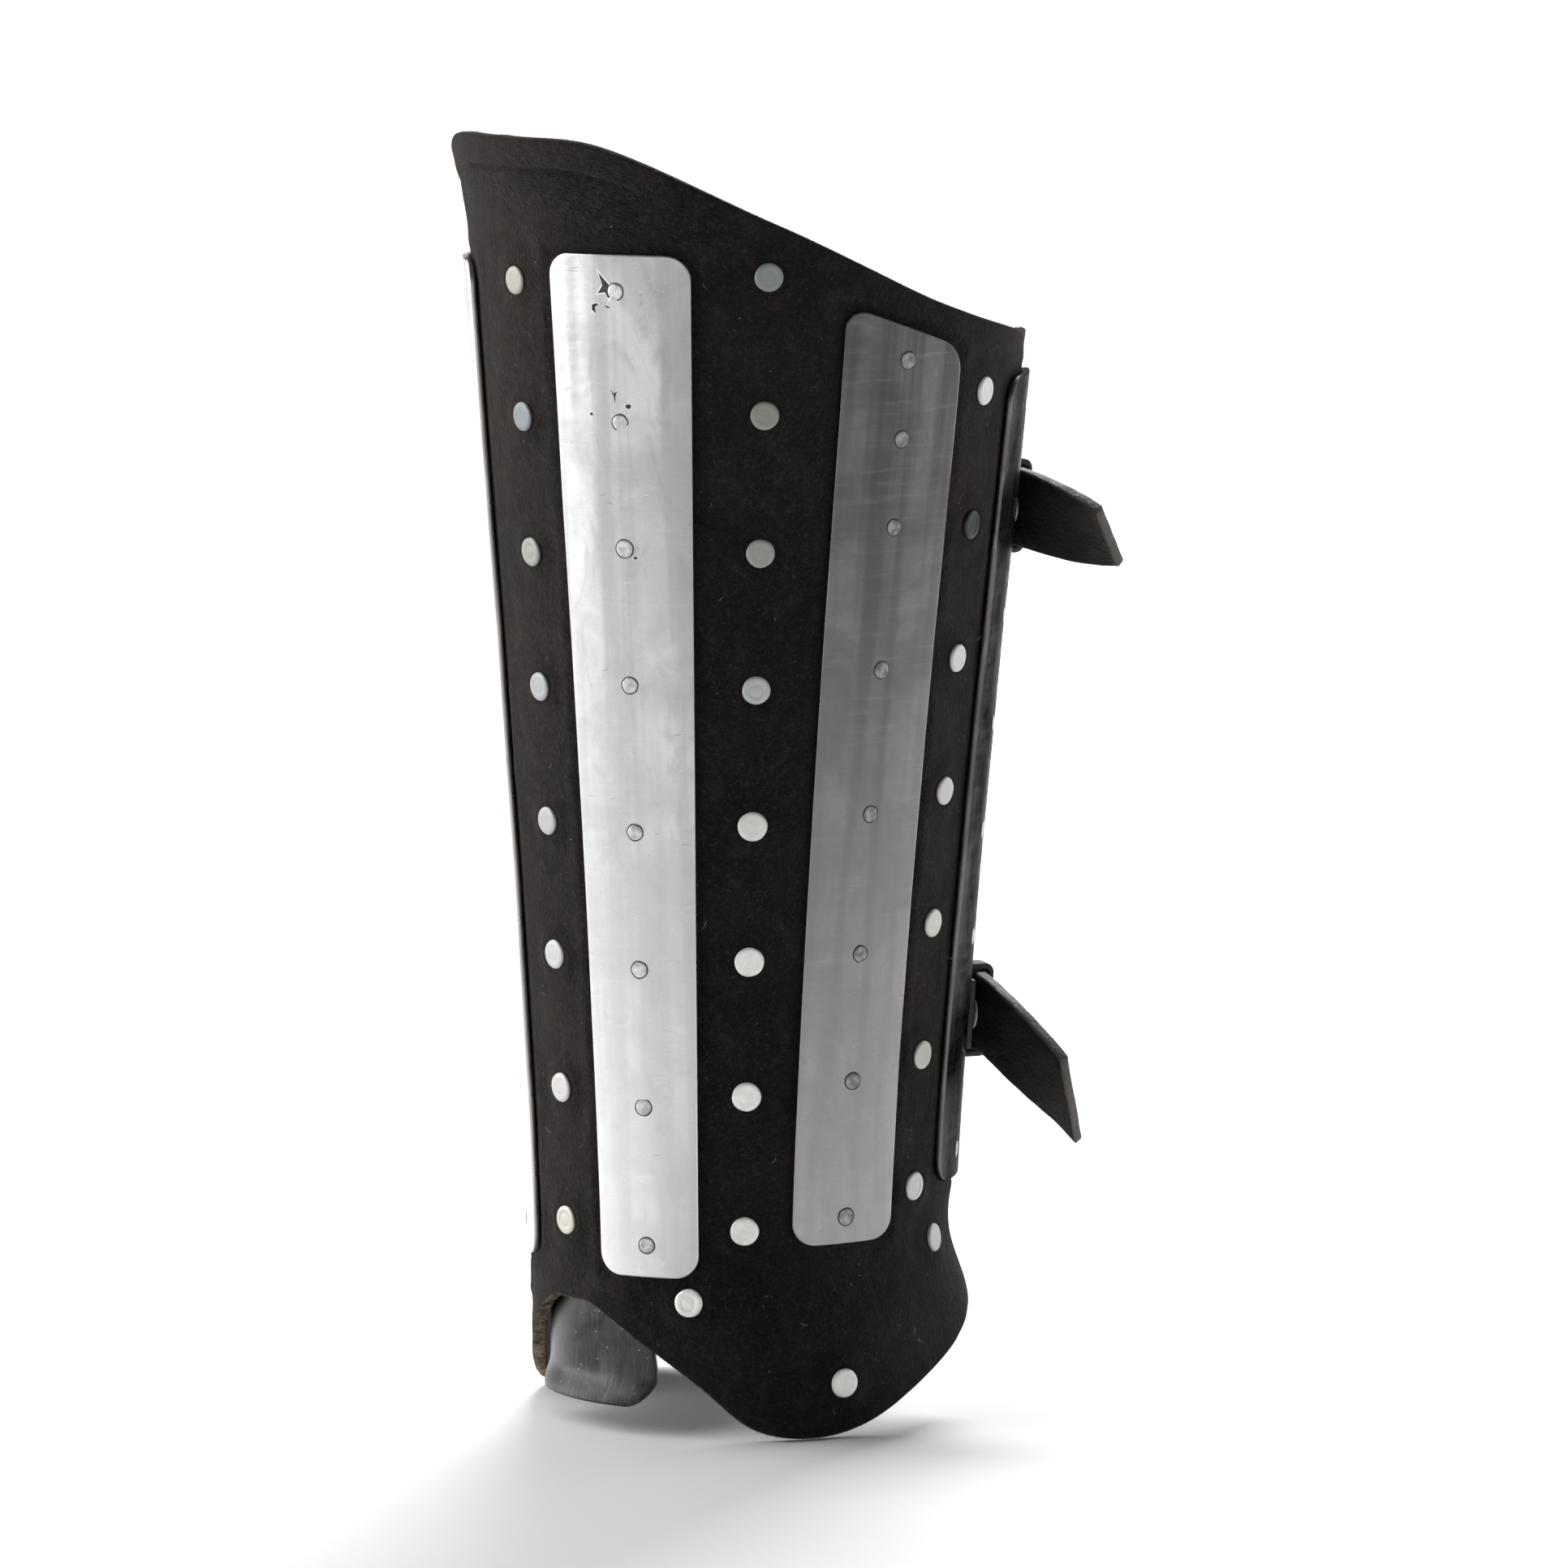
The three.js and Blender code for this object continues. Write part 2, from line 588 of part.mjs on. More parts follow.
  // Buckle frame, a flat ring whose two bars lie at their own distances out
  const near = onStrap(bar, 0, barOut);
  const far = onStrap(farBar, 0, farBarOut);
  const frameSeat = new THREE.Object3D();
  const lengthwise = near.clone().sub(far).normalize();
  const upward = onStrap(bar, 1, barOut).sub(near);
  upward.addScaledVector(lengthwise, -upward.dot(lengthwise)).normalize();
  frameSeat.position.copy(near).add(far).multiplyScalar(0.5);
  frameSeat.quaternion.setFromRotationMatrix(
    new THREE.Matrix4().makeBasis(lengthwise, upward, lengthwise.clone().cross(upward)),
  );
  const rounded = (shape, length, width, radius) => {
    const [x, y] = [length / 2, width / 2];
    shape.moveTo(x, y - radius);
    shape.absarc(x - radius, y - radius, radius, 0, Math.PI / 2, false);
    shape.absarc(radius - x, y - radius, radius, Math.PI / 2, Math.PI, false);
    shape.absarc(radius - x, radius - y, radius, Math.PI, 1.5 * Math.PI, false);
    shape.absarc(x - radius, radius - y, radius, 1.5 * Math.PI, 2 * Math.PI, false);
    return shape;
  };
  const frameLength = near.distanceTo(far) + BUCKLE_BAR;
  const ring = rounded(new THREE.Shape(), frameLength, BUCKLE_WIDTH, 2 * BUCKLE_BAR);
  ring.holes.push(rounded(
    new THREE.Path(), frameLength - 2 * BUCKLE_BAR, BUCKLE_WIDTH - 2 * BUCKLE_BAR, BUCKLE_BAR,
  ));
  const ringGeometry = new THREE.ExtrudeGeometry(ring, {
    depth: BUCKLE_BAR, bevelEnabled: false, curveSegments: RING_STEPS,
  }).translate(0, 0, -BUCKLE_BAR / 2);
  addPiece(`buckle_frame_${strap.name}`, ringGeometry, COLOURS.buckle, frameSeat);

  // Prong: rises through the strap from the near bar and rests on the far one
  const prongStart = onStrap(bar - eyeRadius + PRONG_RADIUS, 0, barOut);
  const prongRest = onStrap(
    farBar, 0, farBarOut + BUCKLE_BAR / 2 + 2 * CLEARANCE + PRONG_RADIUS,
  );
  const prongTip = onStrap(
    farBar - BUCKLE_BAR, 0, farBarOut + BUCKLE_BAR / 2 + 2 * CLEARANCE + PRONG_RADIUS,
  );
  const round = new THREE.Shape();
  round.absarc(0, 0, PRONG_RADIUS, 0, 2 * Math.PI, false);
  addPiece(
    `buckle_prong_${strap.name}`,
    new THREE.ExtrudeGeometry(round, {
      steps: 4,
      curveSegments: 3,
      extrudePath: new THREE.CatmullRomCurve3([prongStart, prongRest, prongTip]),
    }),
    COLOURS.buckle,
  );

  // Keeper: a leather band round the chape and the strap
  const keeperTop = overRivet + STRAP_THICKNESS + 2 * CLEARANCE + KEEPER_THICKNESS;
  const keeperWidth = STRAP_WIDTH + 2 * (2 * CLEARANCE + KEEPER_THICKNESS);
  const keeperHeight = keeperTop - CLEARANCE;
  const loop = rounded(new THREE.Shape(), keeperWidth, keeperHeight, 1.5 * KEEPER_THICKNESS);
  loop.holes.push(rounded(
    new THREE.Path(),
    keeperWidth - 2 * KEEPER_THICKNESS,
    keeperHeight - 2 * KEEPER_THICKNESS,
    KEEPER_THICKNESS / 2,
  ));
  const loopGeometry = new THREE.ExtrudeGeometry(loop, {
    depth: KEEPER_WIDTH, bevelEnabled: false, curveSegments: RING_STEPS,
  }).translate(0, 0, -KEEPER_WIDTH / 2)
    .applyMatrix4(new THREE.Matrix4().makeBasis(
      new THREE.Vector3(0, 1, 0), new THREE.Vector3(0, 0, 1), new THREE.Vector3(1, 0, 0),
    ))
    .translate(keeper, 0, (keeperTop + CLEARANCE) / 2);
  addPiece(`keeper_${strap.name}`, bendToStrap(loopGeometry, onStrap), COLOURS.strap);

  // Rivets that hold the strap's end and the chape to the leather
  const rivetFor = (layer) => discRivet(layer + 2 * CLEARANCE + LEATHER);
  addPiece(
    `rivet_strap_${strap.name}`,
    rivetFor(STRAP_THICKNESS + CLEARANCE),
    COLOURS.disc,
    seat(anchor, STRAP_THICKNESS + 2 * CLEARANCE),
  );
  addPiece(
    `rivet_chape_${strap.name}`,
    rivetFor(CHAPE_THICKNESS + CLEARANCE),
    COLOURS.disc,
    seat(chapeRivet, CHAPE_THICKNESS + 2 * CLEARANCE),
  );
}

// Leather wrap, open at the back, drilled for every rivet
const turns = [...LEATHER_TURNS.map((turn) => -turn).reverse(), ...LEATHER_TURNS];
const wrapRows = LOBE_ROWS + WRAP_ROWS.length;
const wrap = bentBox(turns.length - 1, wrapRows, (across, up, outward) => {
  const turn = turns[Math.round(across * (turns.length - 1))];
  const row = Math.round(up * wrapRows);
  const low = ankleEdge(turn);
  const lobeTop = Math.max(LOBE_TOP, low + LEATHER);
  const lift = row > LOBE_ROWS
    ? lerp(lobeTop, kneeEdge(turn), WRAP_ROWS[row - LOBE_ROWS - 1])
    : lerp(low, lobeTop, row / LOBE_ROWS);
  return onLeg(turn, lift, LEATHER * (outward - 1));
});
addPiece('leather_shell', cut(wrap, leatherHoles), COLOURS.suede);

export default model;
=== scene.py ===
import math
import random

import bpy
import numpy as np
from mathutils import Matrix, Vector


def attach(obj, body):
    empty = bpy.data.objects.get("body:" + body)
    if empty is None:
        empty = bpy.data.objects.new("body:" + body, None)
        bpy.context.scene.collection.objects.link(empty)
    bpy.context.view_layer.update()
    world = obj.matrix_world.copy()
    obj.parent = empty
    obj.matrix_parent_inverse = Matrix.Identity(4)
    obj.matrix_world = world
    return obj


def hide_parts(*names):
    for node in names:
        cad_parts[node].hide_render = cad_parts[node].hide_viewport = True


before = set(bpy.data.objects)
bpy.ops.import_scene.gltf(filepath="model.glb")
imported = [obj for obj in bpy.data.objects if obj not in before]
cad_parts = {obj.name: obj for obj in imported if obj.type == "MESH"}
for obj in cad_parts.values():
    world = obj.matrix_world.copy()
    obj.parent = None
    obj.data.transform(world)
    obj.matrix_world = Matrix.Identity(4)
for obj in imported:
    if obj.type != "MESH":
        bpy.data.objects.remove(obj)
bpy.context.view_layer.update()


# Leather wrap: one piece of thick black leather with its rough side out, bent round and
# left open at the back. Its lower edge is cut to an arch in front and a lobe at each
# side, and all its edges are left raw.

HEIGHT = 0.389
CALF_WIDTH = 0.155
CALF_DEPTH = 0.173
ANKLE_WIDTH = 0.118
ANKLE_DEPTH = 0.1315
CALF_BACK = 0.004
LEATHER = 0.004
BACK_TURN = 170
ANKLE_TURN_SHARE = 0.96
LOBE_FLARE = 0.007
LOBE_TOP = 0.1465 * HEIGHT
LOBE_LIP = 0.077 * HEIGHT
KNEE_FLARE = 0.003
KNEE_FLARE_HEIGHT = 0.028
ORIGIN_LIFT = 0.14 * HEIGHT
CLEARANCE = 0.0003

WRAP_SWELL = ([0, 0.16, 0.343, 0.566, 0.788, 1], [-0.03, 0, 0.2, 0.53, 0.9, 1.22])
KNEE_EDGE = (
    [0, 25, 60, 98, 135, 160, BACK_TURN],
    [1, 0.994, 0.9365, 0.872, 0.8405, 0.834, 0.813],
)
ANKLE_EDGE = (
    [0, 10, 30, 47, 60, 74, 90, 112, 137, 154, BACK_TURN],
    [0.099, 0.097, 0.067, 0.0375, 0.009, 0, 0.006, 0.0345, 0.0705, 0.111, 0.172],
)

# Splints and rivets leave their print in the leather, so their places come here. Turns and
# spans are degrees, distances to the edges and the slant shares of the height.
SPLINT_COLUMNS = ("turn", "foot_turn", "outer_turn", "outer_foot_turn", "span", "foot_span",
                  "above", "below", "slant", "rivets")
SPLINTS = {name: dict(zip(SPLINT_COLUMNS, row)) for name, *row in (
    ("front", 27.5, 31, 37, 34, 31.5, 30, 0.0591, 0.0776, 0,
     [0.032, 0.169, 0.305, 0.44, 0.584, 0.717, 0.839, 0.965]),
    ("side", 88.5, 87, 88.5, 87, 28.5, 31, 0.144, 0.03, 0.0386,
     [0.03, 0.18, 0.32, 0.473, 0.63, 0.785, 0.88, 0.965]),
    ("back", 140, 140, 140, 140, 30, 30, 0.1028, 0.031, 0,
     [0.035, 0.168, 0.301, 0.434, 0.567, 0.7, 0.833, 0.965]),
)}
SHIN_ROW = (0, 8, 0.0617, 0.1105)
SIDE_ROWS = {"calf": (58.5, 8, 0.15, 0.0416), "heel": (113.5, 7, 0.1465, 0.0547)}
LOBE_RIVETS = [(43, 0.0605), (84.5, 0.0395), (125.5, 0.085)]


def read(table, at):
    """Height of the smooth curve through a table's points."""
    places, values = (np.array(column, float) for column in table)
    rows = np.arange(len(places))
    before, after = np.maximum(rows - 1, 0), np.minimum(rows + 1, len(rows) - 1)
    slopes = (values[after] - values[before]) / (places[after] - places[before])
    at = np.asarray(at, float)
    row = np.clip(np.searchsorted(places, at, side="right") - 1, 0, len(places) - 2)
    step = places[row + 1] - places[row]
    t = np.clip((at - places[row]) / step, 0, 1)
    bend = t * t * (3 - 2 * t)
    lean = step * t * (1 - t) * ((1 - t) * slopes[row] - t * slopes[row + 1])
    return values[row] * (1 - bend) + values[row + 1] * bend + lean


def ease(at, low, high):
    t = np.clip((np.asarray(at, float) - low) / (high - low), 0, 1)
    return t * t * (3 - 2 * t)


def wrap_swell(lift):
    return read(WRAP_SWELL, np.asarray(lift) / HEIGHT)


def knee_edge(turn):
    return HEIGHT * read(KNEE_EDGE, np.abs(turn))


def ankle_edge(turn):
    return HEIGHT * read(ANKLE_EDGE, np.abs(turn))


def turn_share(lift):
    return ANKLE_TURN_SHARE + (1 - ANKLE_TURN_SHARE) * wrap_swell(lift)


def half_width(lift):
    return (ANKLE_WIDTH + (CALF_WIDTH - ANKLE_WIDTH) * wrap_swell(lift)) / 2


def leather_flare(turn, lift):
    """How far the lobes and the front of the knee edge flare out."""
    side = np.abs(turn)
    over_ankle = ease(side, 30, 80) * (1 - ease(side, 140, 165))
    near_lobe = 1 - ease(lift, LOBE_LIP, LOBE_TOP)
    over_shin = 1 - ease(side, 35, 75)
    near_knee = ease(lift - knee_edge(side), -KNEE_FLARE_HEIGHT, KNEE_FLARE_HEIGHT)
    return LOBE_FLARE * over_ankle * near_lobe + 2 * KNEE_FLARE * over_shin * near_knee


def at_angle(angle, lift, out):
    """Point at an angle round the wrap, a height above the lobes and a distance out."""
    angle, lift, out = np.broadcast_arrays(angle, lift, out)
    reach = out + leather_flare(angle / turn_share(lift), lift)
    half_depth = (ANKLE_DEPTH + (CALF_DEPTH - ANKLE_DEPTH) * wrap_swell(lift)) / 2
    return np.stack([
        (half_width(lift) + reach) * np.sin(np.radians(angle)),
        -(half_depth + reach) * np.cos(np.radians(angle)) + CALF_BACK * wrap_swell(lift),
        lift - ORIGIN_LIFT,
    ], -1)


def on_wrap(turn, lift, out):
    return at_angle(turn * turn_share(lift), lift, out)


def row_lifts(turn, count, above, below):
    low = ankle_edge(turn) + HEIGHT * above
    high = knee_edge(turn) - HEIGHT * below
    return np.linspace(low, high, count)


def splint_reach(name, side):
    """Lowest and highest lift of a splint, on the inner (1) or outer (-1) side."""
    splint = SPLINTS[name]
    head_turn = splint["turn"] if side > 0 else splint["outer_turn"]
    low = ankle_edge(splint["foot_turn"]) + HEIGHT * splint["above"]
    high = knee_edge(head_turn) - HEIGHT * splint["below"]
    return float(low), float(high), head_turn


def splint_turn(name, side, lift):
    """Middle and half width of a splint in degrees, at a lift."""
    splint = SPLINTS[name]
    low, high, head_turn = splint_reach(name, side)
    foot_turn = splint["foot_turn"] if side > 0 else splint["outer_foot_turn"]
    share = (lift - low) / (high - low)
    half = (splint["foot_span"] + (splint["span"] - splint["foot_span"]) * share) / 2
    return side * (foot_turn + (head_turn - foot_turn) * share), half


disc_places = [(SHIN_ROW[0], lift) for lift in row_lifts(*SHIN_ROW)]
for side in (1, -1):
    for row in SIDE_ROWS.values():
        disc_places += [(side * row[0], lift) for lift in row_lifts(*row)]
    disc_places += [(side * t, ankle_edge(t) + HEIGHT * above) for t, above in LOBE_RIVETS]


def swells(u, v, size, seed):
    """Smooth random hills and hollows about one size across, from -1 to 1."""
    lattice = np.random.default_rng(seed).uniform(-1, 1, (64, 64))
    x, y = np.asarray(u) / size + 16, np.asarray(v) / size + 16
    column, row = np.floor(x).astype(int), np.floor(y).astype(int)
    fx, fy = x - column, y - row
    fx, fy = fx * fx * (3 - 2 * fx), fy * fy * (3 - 2 * fy)

    def corner(i, j):
        return lattice[(column + i) % 64, (row + j) % 64]

    low = corner(0, 0) * (1 - fx) + corner(1, 0) * fx
    high = corner(0, 1) * (1 - fx) + corner(1, 1) * fx
    return low * (1 - fy) + high * fy


def leather_relief(turn, lift):
    """Height of the worn leather over its plain form, and how wrinkled it is."""
    round_wrap = np.radians(turn) * 0.072
    height = 0.00055 * swells(round_wrap, lift, 0.034, 1)
    height += 0.00030 * swells(round_wrap, lift, 0.013, 2)
    height += 0.00012 * swells(round_wrap, lift, 0.0055, 3)
    to_knee = knee_edge(turn) - lift
    to_ankle = lift - ankle_edge(turn)

    # A fold runs under the knee edge, and the leather rolls out above it
    crease = (1 - ease(turn, 18, 40)) * ease(turn, -75, -50)
    height -= 0.0009 * crease * np.exp(-((to_knee - 0.0095) / 0.0009) ** 2)
    height += 0.0006 * crease * (1 - ease(to_knee, 0.004, 0.0095))
    rolled = ease(np.abs(turn), 146, 164) * (1 - ease(to_knee, 0.0015, 0.009))
    height += 0.0026 * rolled
    lip = ease(np.abs(turn), 35, 70) * (1 - ease(np.abs(turn), 120, 150))
    height += 0.0007 * lip * (1 - ease(to_ankle, 0.001, 0.008))

    # It lies flat under the splints and swells beside them
    covered = np.zeros_like(height)
    for side in (1, -1):
        for name, splint in SPLINTS.items():
            low, high, head_turn = splint_reach(name, side)
            middle, half = splint_turn(name, side, lift)
            top = high - HEIGHT * splint["slant"] * (side * turn - head_turn) / splint["span"]
            beside = np.radians(np.abs(turn - middle) - half) * 0.068
            beyond = np.maximum(low - lift, lift - top)
            gap = np.hypot(np.maximum(beside, 0), np.maximum(beyond, 0))
            gap += np.minimum(np.maximum(beside, beyond), 0)
            covered = np.maximum(covered, 1 - ease(gap, 0.0005, 0.0035))
            height += 0.00045 * np.exp(-((gap - 0.0042) / 0.0026) ** 2)
    height = height * (1 - covered) - 0.00025 * covered

    # Each disc rivet is drawn down until the leather swells round its rim
    for place, at in disc_places:
        away = np.hypot(np.radians(turn - place) * half_width(at) * 1.02, lift - at)
        under = 1 - ease(away, 0.0045, 0.0065)
        height = height * (1 - 0.8 * under) + 0.0001 * under
        height += 0.00042 * np.exp(-((away - 0.0062) / 0.0014) ** 2)
        height -= 0.00035 * np.exp(-((away - 0.0112) / 0.0030) ** 2)
    wrinkled = np.exp(-((turn - 27) / 12) ** 2 - ((to_knee - 0.018) / 0.012) ** 2)
    wrinkled += 0.35 * crease * np.exp(-((to_knee - 0.012) / 0.008) ** 2)
    return height, wrinkled


def thick_sheet(name, place, columns, rows, layers):
    """Closed sheet. Its first layer is the outer face, its last the inner face and
    those between run round its edge. A layer is (how far in from the edge, how far out)."""
    across, up = np.meshgrid(np.linspace(0, 1, columns + 1), np.linspace(0, 1, rows + 1))
    index = np.arange(across.size).reshape(across.shape)
    across, up = across.ravel(), up.ravel()
    edge = np.concatenate([index[0, :-1], index[:-1, -1], index[-1, :0:-1], index[:0:-1, 0]])
    points, rings, count = [place(across, up, *layers[0])], [edge], across.size
    for layer in layers[1:-1]:
        points.append(place(across[edge], up[edge], *layer))
        rings.append(np.arange(count, count + len(edge)))
        count += len(edge)
    points.append(place(across, up, *layers[-1]))
    rings.append(edge + count)
    face = np.stack([index[:-1, :-1], index[:-1, 1:], index[1:, 1:], index[1:, :-1]], -1)
    face = face.reshape(-1, 4)
    sides = [np.stack([a, b, np.roll(b, -1), np.roll(a, -1)], -1) for a, b in zip(rings, rings[1:])]
    faces = np.concatenate([face, *sides, face[:, ::-1] + count])
    kinds = np.repeat([0, 1, 2], [len(face), sum(map(len, sides)), len(face)])
    return add_piece(name, np.concatenate(points), faces.tolist(), kinds)


def add_piece(name, points, faces, kinds=None):
    """Links a smooth-shaded mesh to the scene; kinds gives each face its material's place."""
    mesh = bpy.data.meshes.new(name)
    mesh.from_pydata(np.asarray(points).tolist(), [], faces)
    mesh.polygons.foreach_set("use_smooth", [True] * len(mesh.polygons))
    if kinds is not None:
        mesh.polygons.foreach_set("material_index", [int(kind) for kind in kinds])
    piece = bpy.data.objects.new(name, mesh)
    bpy.context.scene.collection.objects.link(piece)
    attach(piece, "root")
    return piece


def dress(piece, finishes, node=None):
    """Gives a piece its finishes, and hides the solid it takes the place of."""
    for finish in finishes:
        piece.data.materials.append(finish.material)
    if node:
        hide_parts(node)


def note_points(piece, name, values):
    """Keeps a number for every point of a piece, for its material to read."""
    piece.data.attributes.new(name, "FLOAT", "POINT")
    piece.data.attributes[name].data.foreach_set("value", np.asarray(values, np.float32))


def lay_flat(piece, flat):
    """Gives a piece the flat lengths of its points, in metres, as its surface map."""
    corners = np.zeros(len(piece.data.loops), int)
    piece.data.loops.foreach_get("vertex_index", corners)
    surface = piece.data.uv_layers.new(name="flat")
    surface.data.foreach_set("uv", np.asarray(flat, np.float32)[corners].ravel())


WRAP_COLUMNS = 230
WRAP_ROWS = 190
EDGE_ROWS = ([0, 0.06, 0.85, 1], [0, 0.02, 0.955, 1])
WRAP_LAYERS = [(0.0007, 0), (0.0002, -0.0004), (0, -0.001), (0, -0.003), (0.0002, -0.0036),
               (0.0007, -LEATHER)]
wrap_notes = []


def place_on_wrap(across, up, inset, out):
    turn = BACK_TURN * (2 * across - 1)
    turn = turn * (1 - inset / (math.radians(BACK_TURN) * half_width(0.15)))
    low, high = ankle_edge(turn) + inset, knee_edge(turn) - inset
    lift = low + (high - low) * np.interp(up, *EDGE_ROWS)
    height, wrinkled = leather_relief(turn, lift)
    to_edge = np.minimum.reduce([
        np.radians(BACK_TURN - np.abs(turn)) * half_width(lift), knee_edge(turn) - lift,
        lift - ankle_edge(turn),
    ])
    wrap_notes.append((to_edge, wrinkled))
    return on_wrap(turn, lift, out + height * (1 + 0.6 * out / LEATHER))


leather_wrap = thick_sheet("leather_wrap", place_on_wrap, WRAP_COLUMNS, WRAP_ROWS, WRAP_LAYERS)
to_edge, wrinkled = (np.concatenate(note) for note in zip(*wrap_notes))
note_points(leather_wrap, "to_edge", to_edge)
note_points(leather_wrap, "wrinkled", wrinkled)


class Finish:
    """A procedural finish, written as short steps that each add one node."""

    def __init__(self, name):
        self.material = bpy.data.materials.new(name)
        self.material.use_nodes = True
        self.tree = self.material.node_tree
        self.shader = self.tree.nodes["Principled BSDF"]
        self.where = self.add("TexCoord", "Object")

    def join(self, value, socket):
        if isinstance(value, bpy.types.NodeSocket):
            self.tree.links.new(value, socket)
        else:
            socket.default_value = value

    def add(self, kind, output, inputs=None, **settings):
        """Adds a node with its settings and inputs, and gives back one output."""
        node = self.tree.nodes.new("ShaderNode" + kind)
        for name, setting in settings.items():
            setattr(node, name, setting)
        for name, value in (inputs or {}).items():
            self.join(value, node.inputs[name])
        return node.outputs[output]

    def set(self, **sockets):
        for name, value in sockets.items():
            self.join(value, self.shader.inputs[name.replace("_", " ")])

    def stretched(self, stretch, turn=0, where=None):
        """The piece's own coordinates, each multiplied by its stretch, then turned."""
        return self.add("Mapping", "Vector", {
            "Vector": where or self.where, "Scale": stretch, "Rotation": (0, 0, turn)})

    def flat(self, stretch, turn=0):
        """The same with the piece's flat lengths."""
        return self.stretched(stretch, turn, self.add("UVMap", "UV", uv_map="flat"))

    def grain(self, size, detail=4, roughness=0.55, distortion=0, where=None):
        """Noise whose features are about one size across, in metres."""
        return self.add("TexNoise", "Fac", {
            "Vector": where or self.where, "Scale": 1 / size, "Detail": detail,
            "Roughness": roughness, "Distortion": distortion})

    def cells(self, size, feature="F1"):
        return self.add("TexVoronoi", "Distance", {"Vector": self.where, "Scale": 1 / size},
                        feature=feature)

    def spread(self, value, low, high, start=0, end=1):
        """Stretches a value from low and high to start and end."""
        return self.add("MapRange", "Result", {
            "Value": value, "From Min": low, "From Max": high, "To Min": start, "To Max": end},
            interpolation_type="SMOOTHSTEP")

    def sum(self, operation, a, b):
        return self.add("Math", "Value", {0: a, 1: b}, operation=operation)

    def blend(self, share, a, b):
        """Goes from colour a to colour b."""
        a, b = (c if isinstance(c, bpy.types.NodeSocket) else (*c, 1) for c in (a, b))
        return self.add("Mix", "Result", {"Factor": share, "A": a, "B": b}, data_type="RGBA")

    def shade(self, value, low, high, a, b, start=0, end=1):
        """Colour a with a share of b that goes from start at low to end at high."""
        return self.blend(self.spread(value, low, high, start, end), a, b)

    def height_of(self):
        """Height of a place on the piece, in metres."""
        return self.add("SeparateXYZ", "Z", {"Vector": self.where})

    def noted(self, name):
        return self.add("Attribute", "Fac", attribute_name=name)

    def relief(self, *layers):
        """Bumps from (height, depth in metres) pairs, the first lowest."""
        inputs = {"Strength": 1}
        for height, depth in layers:
            inputs.update({"Height": height, "Distance": depth})
            inputs["Normal"] = self.add("Bump", "Normal", inputs)
        self.set(Normal=inputs["Normal"])


suede = Finish("black_suede")
nap = suede.grain(0.045, 5, 0.6, 0.6)
brushed = suede.grain(0.0075, 6, 0.68, 1.0, suede.stretched((1, 1, 0.75)))
fibre = suede.grain(0.0013, 6, 0.72, 0.8)
speck = suede.cells(0.0040)
colour = suede.shade(nap, 0.32, 0.7, (0.0045, 0.0034, 0.0034), (0.0120, 0.0098, 0.0090))
colour = suede.shade(brushed, 0.45, 0.72, colour, (0.022, 0.0185, 0.0168), 0, 0.6)
colour = suede.shade(fibre, 0.5, 0.78, colour, (0.052, 0.044, 0.039), 0, 0.85)
colour = suede.shade(speck, 0.0, 0.08, colour, (0.10, 0.09, 0.08), 0.4, 0)
low_down = suede.spread(suede.height_of(), 0.0, 0.03, 1, 0.05)
raw = suede.sum("MULTIPLY", suede.spread(suede.noted("to_edge"), -0.0001, 0.0007, 1, 0),
                suede.spread(suede.grain(0.006, 4, 0.7), 0.36, 0.62, 0.1, 1))
raw = suede.sum("MULTIPLY", raw, low_down)
raw_colour = suede.shade(fibre, 0.35, 0.65, (0.045, 0.033, 0.024), (0.42, 0.32, 0.21))
suede.set(Base_Color=suede.blend(raw, colour, raw_colour), Roughness=0.96,
          Specular_IOR_Level=0.12, Sheen_Weight=0.12, Sheen_Roughness=0.42,
          Sheen_Tint=(0.8, 0.72, 0.66, 1))
crinkles = suede.grain(0.0036, 3, 0.5, 2.2, suede.stretched((0.5, 0.5, 1.3)))
ripple = suede.sum("MULTIPLY", suede.noted("wrinkled"), suede.spread(crinkles, 0.35, 0.6))
suede.relief((ripple, 0.0014), (brushed, 0.0011), (fibre, 0.0009))

lining = Finish("black_grain_side")
tone = lining.shade(lining.grain(0.03, 5, 0.6), 0.3, 0.7, (0.012, 0.010, 0.009),
                    (0.030, 0.024, 0.020))
lining.set(Base_Color=tone, Roughness=lining.spread(lining.grain(0.012), 0.3, 0.7, 0.5, 0.72),
           Specular_IOR_Level=0.35)
lining.relief((lining.grain(0.008, 4, 0.6), 0.0006),
              (lining.cells(0.0017, "DISTANCE_TO_EDGE"), 0.0003))
dress(leather_wrap, [suede, suede, lining], "leather_shell")


# Loose fibres: the raw edges of the wrap fray, and pale lint clings to its nap.
# Both are single hairs, no thicker than a pencil line.

FRAY_COUNT = 6500
LINT_COUNT = 1100
chance = np.random.default_rng(7)
random.seed(7)


def add_hairs(name, starts, ways, lengths, widths, curl):
    """One piece of many bent ribbons, each tapering to a point."""
    ways = ways / np.linalg.norm(ways, axis=1)[:, None]
    sides = np.cross(ways, chance.normal(size=ways.shape))
    sides /= np.linalg.norm(sides, axis=1)[:, None]
    bows = np.cross(sides, ways) * curl * lengths[:, None]
    rows = []
    for i in range(4):
        share = i / 3
        middle = starts + ways * lengths[:, None] * share + bows * math.sin(math.pi * share)
        reach = sides * widths[:, None] * (1 - 0.75 * share) / 2
        rows += [middle - reach, middle + reach]
    first = 8 * np.arange(len(starts))[:, None, None]
    ribbon = np.array([[2 * i, 2 * i + 1, 2 * i + 3, 2 * i + 2] for i in range(3)])
    faces = (first + ribbon).reshape(-1, 4).tolist()
    return add_piece(name, np.stack(rows, 1).reshape(-1, 3), faces)


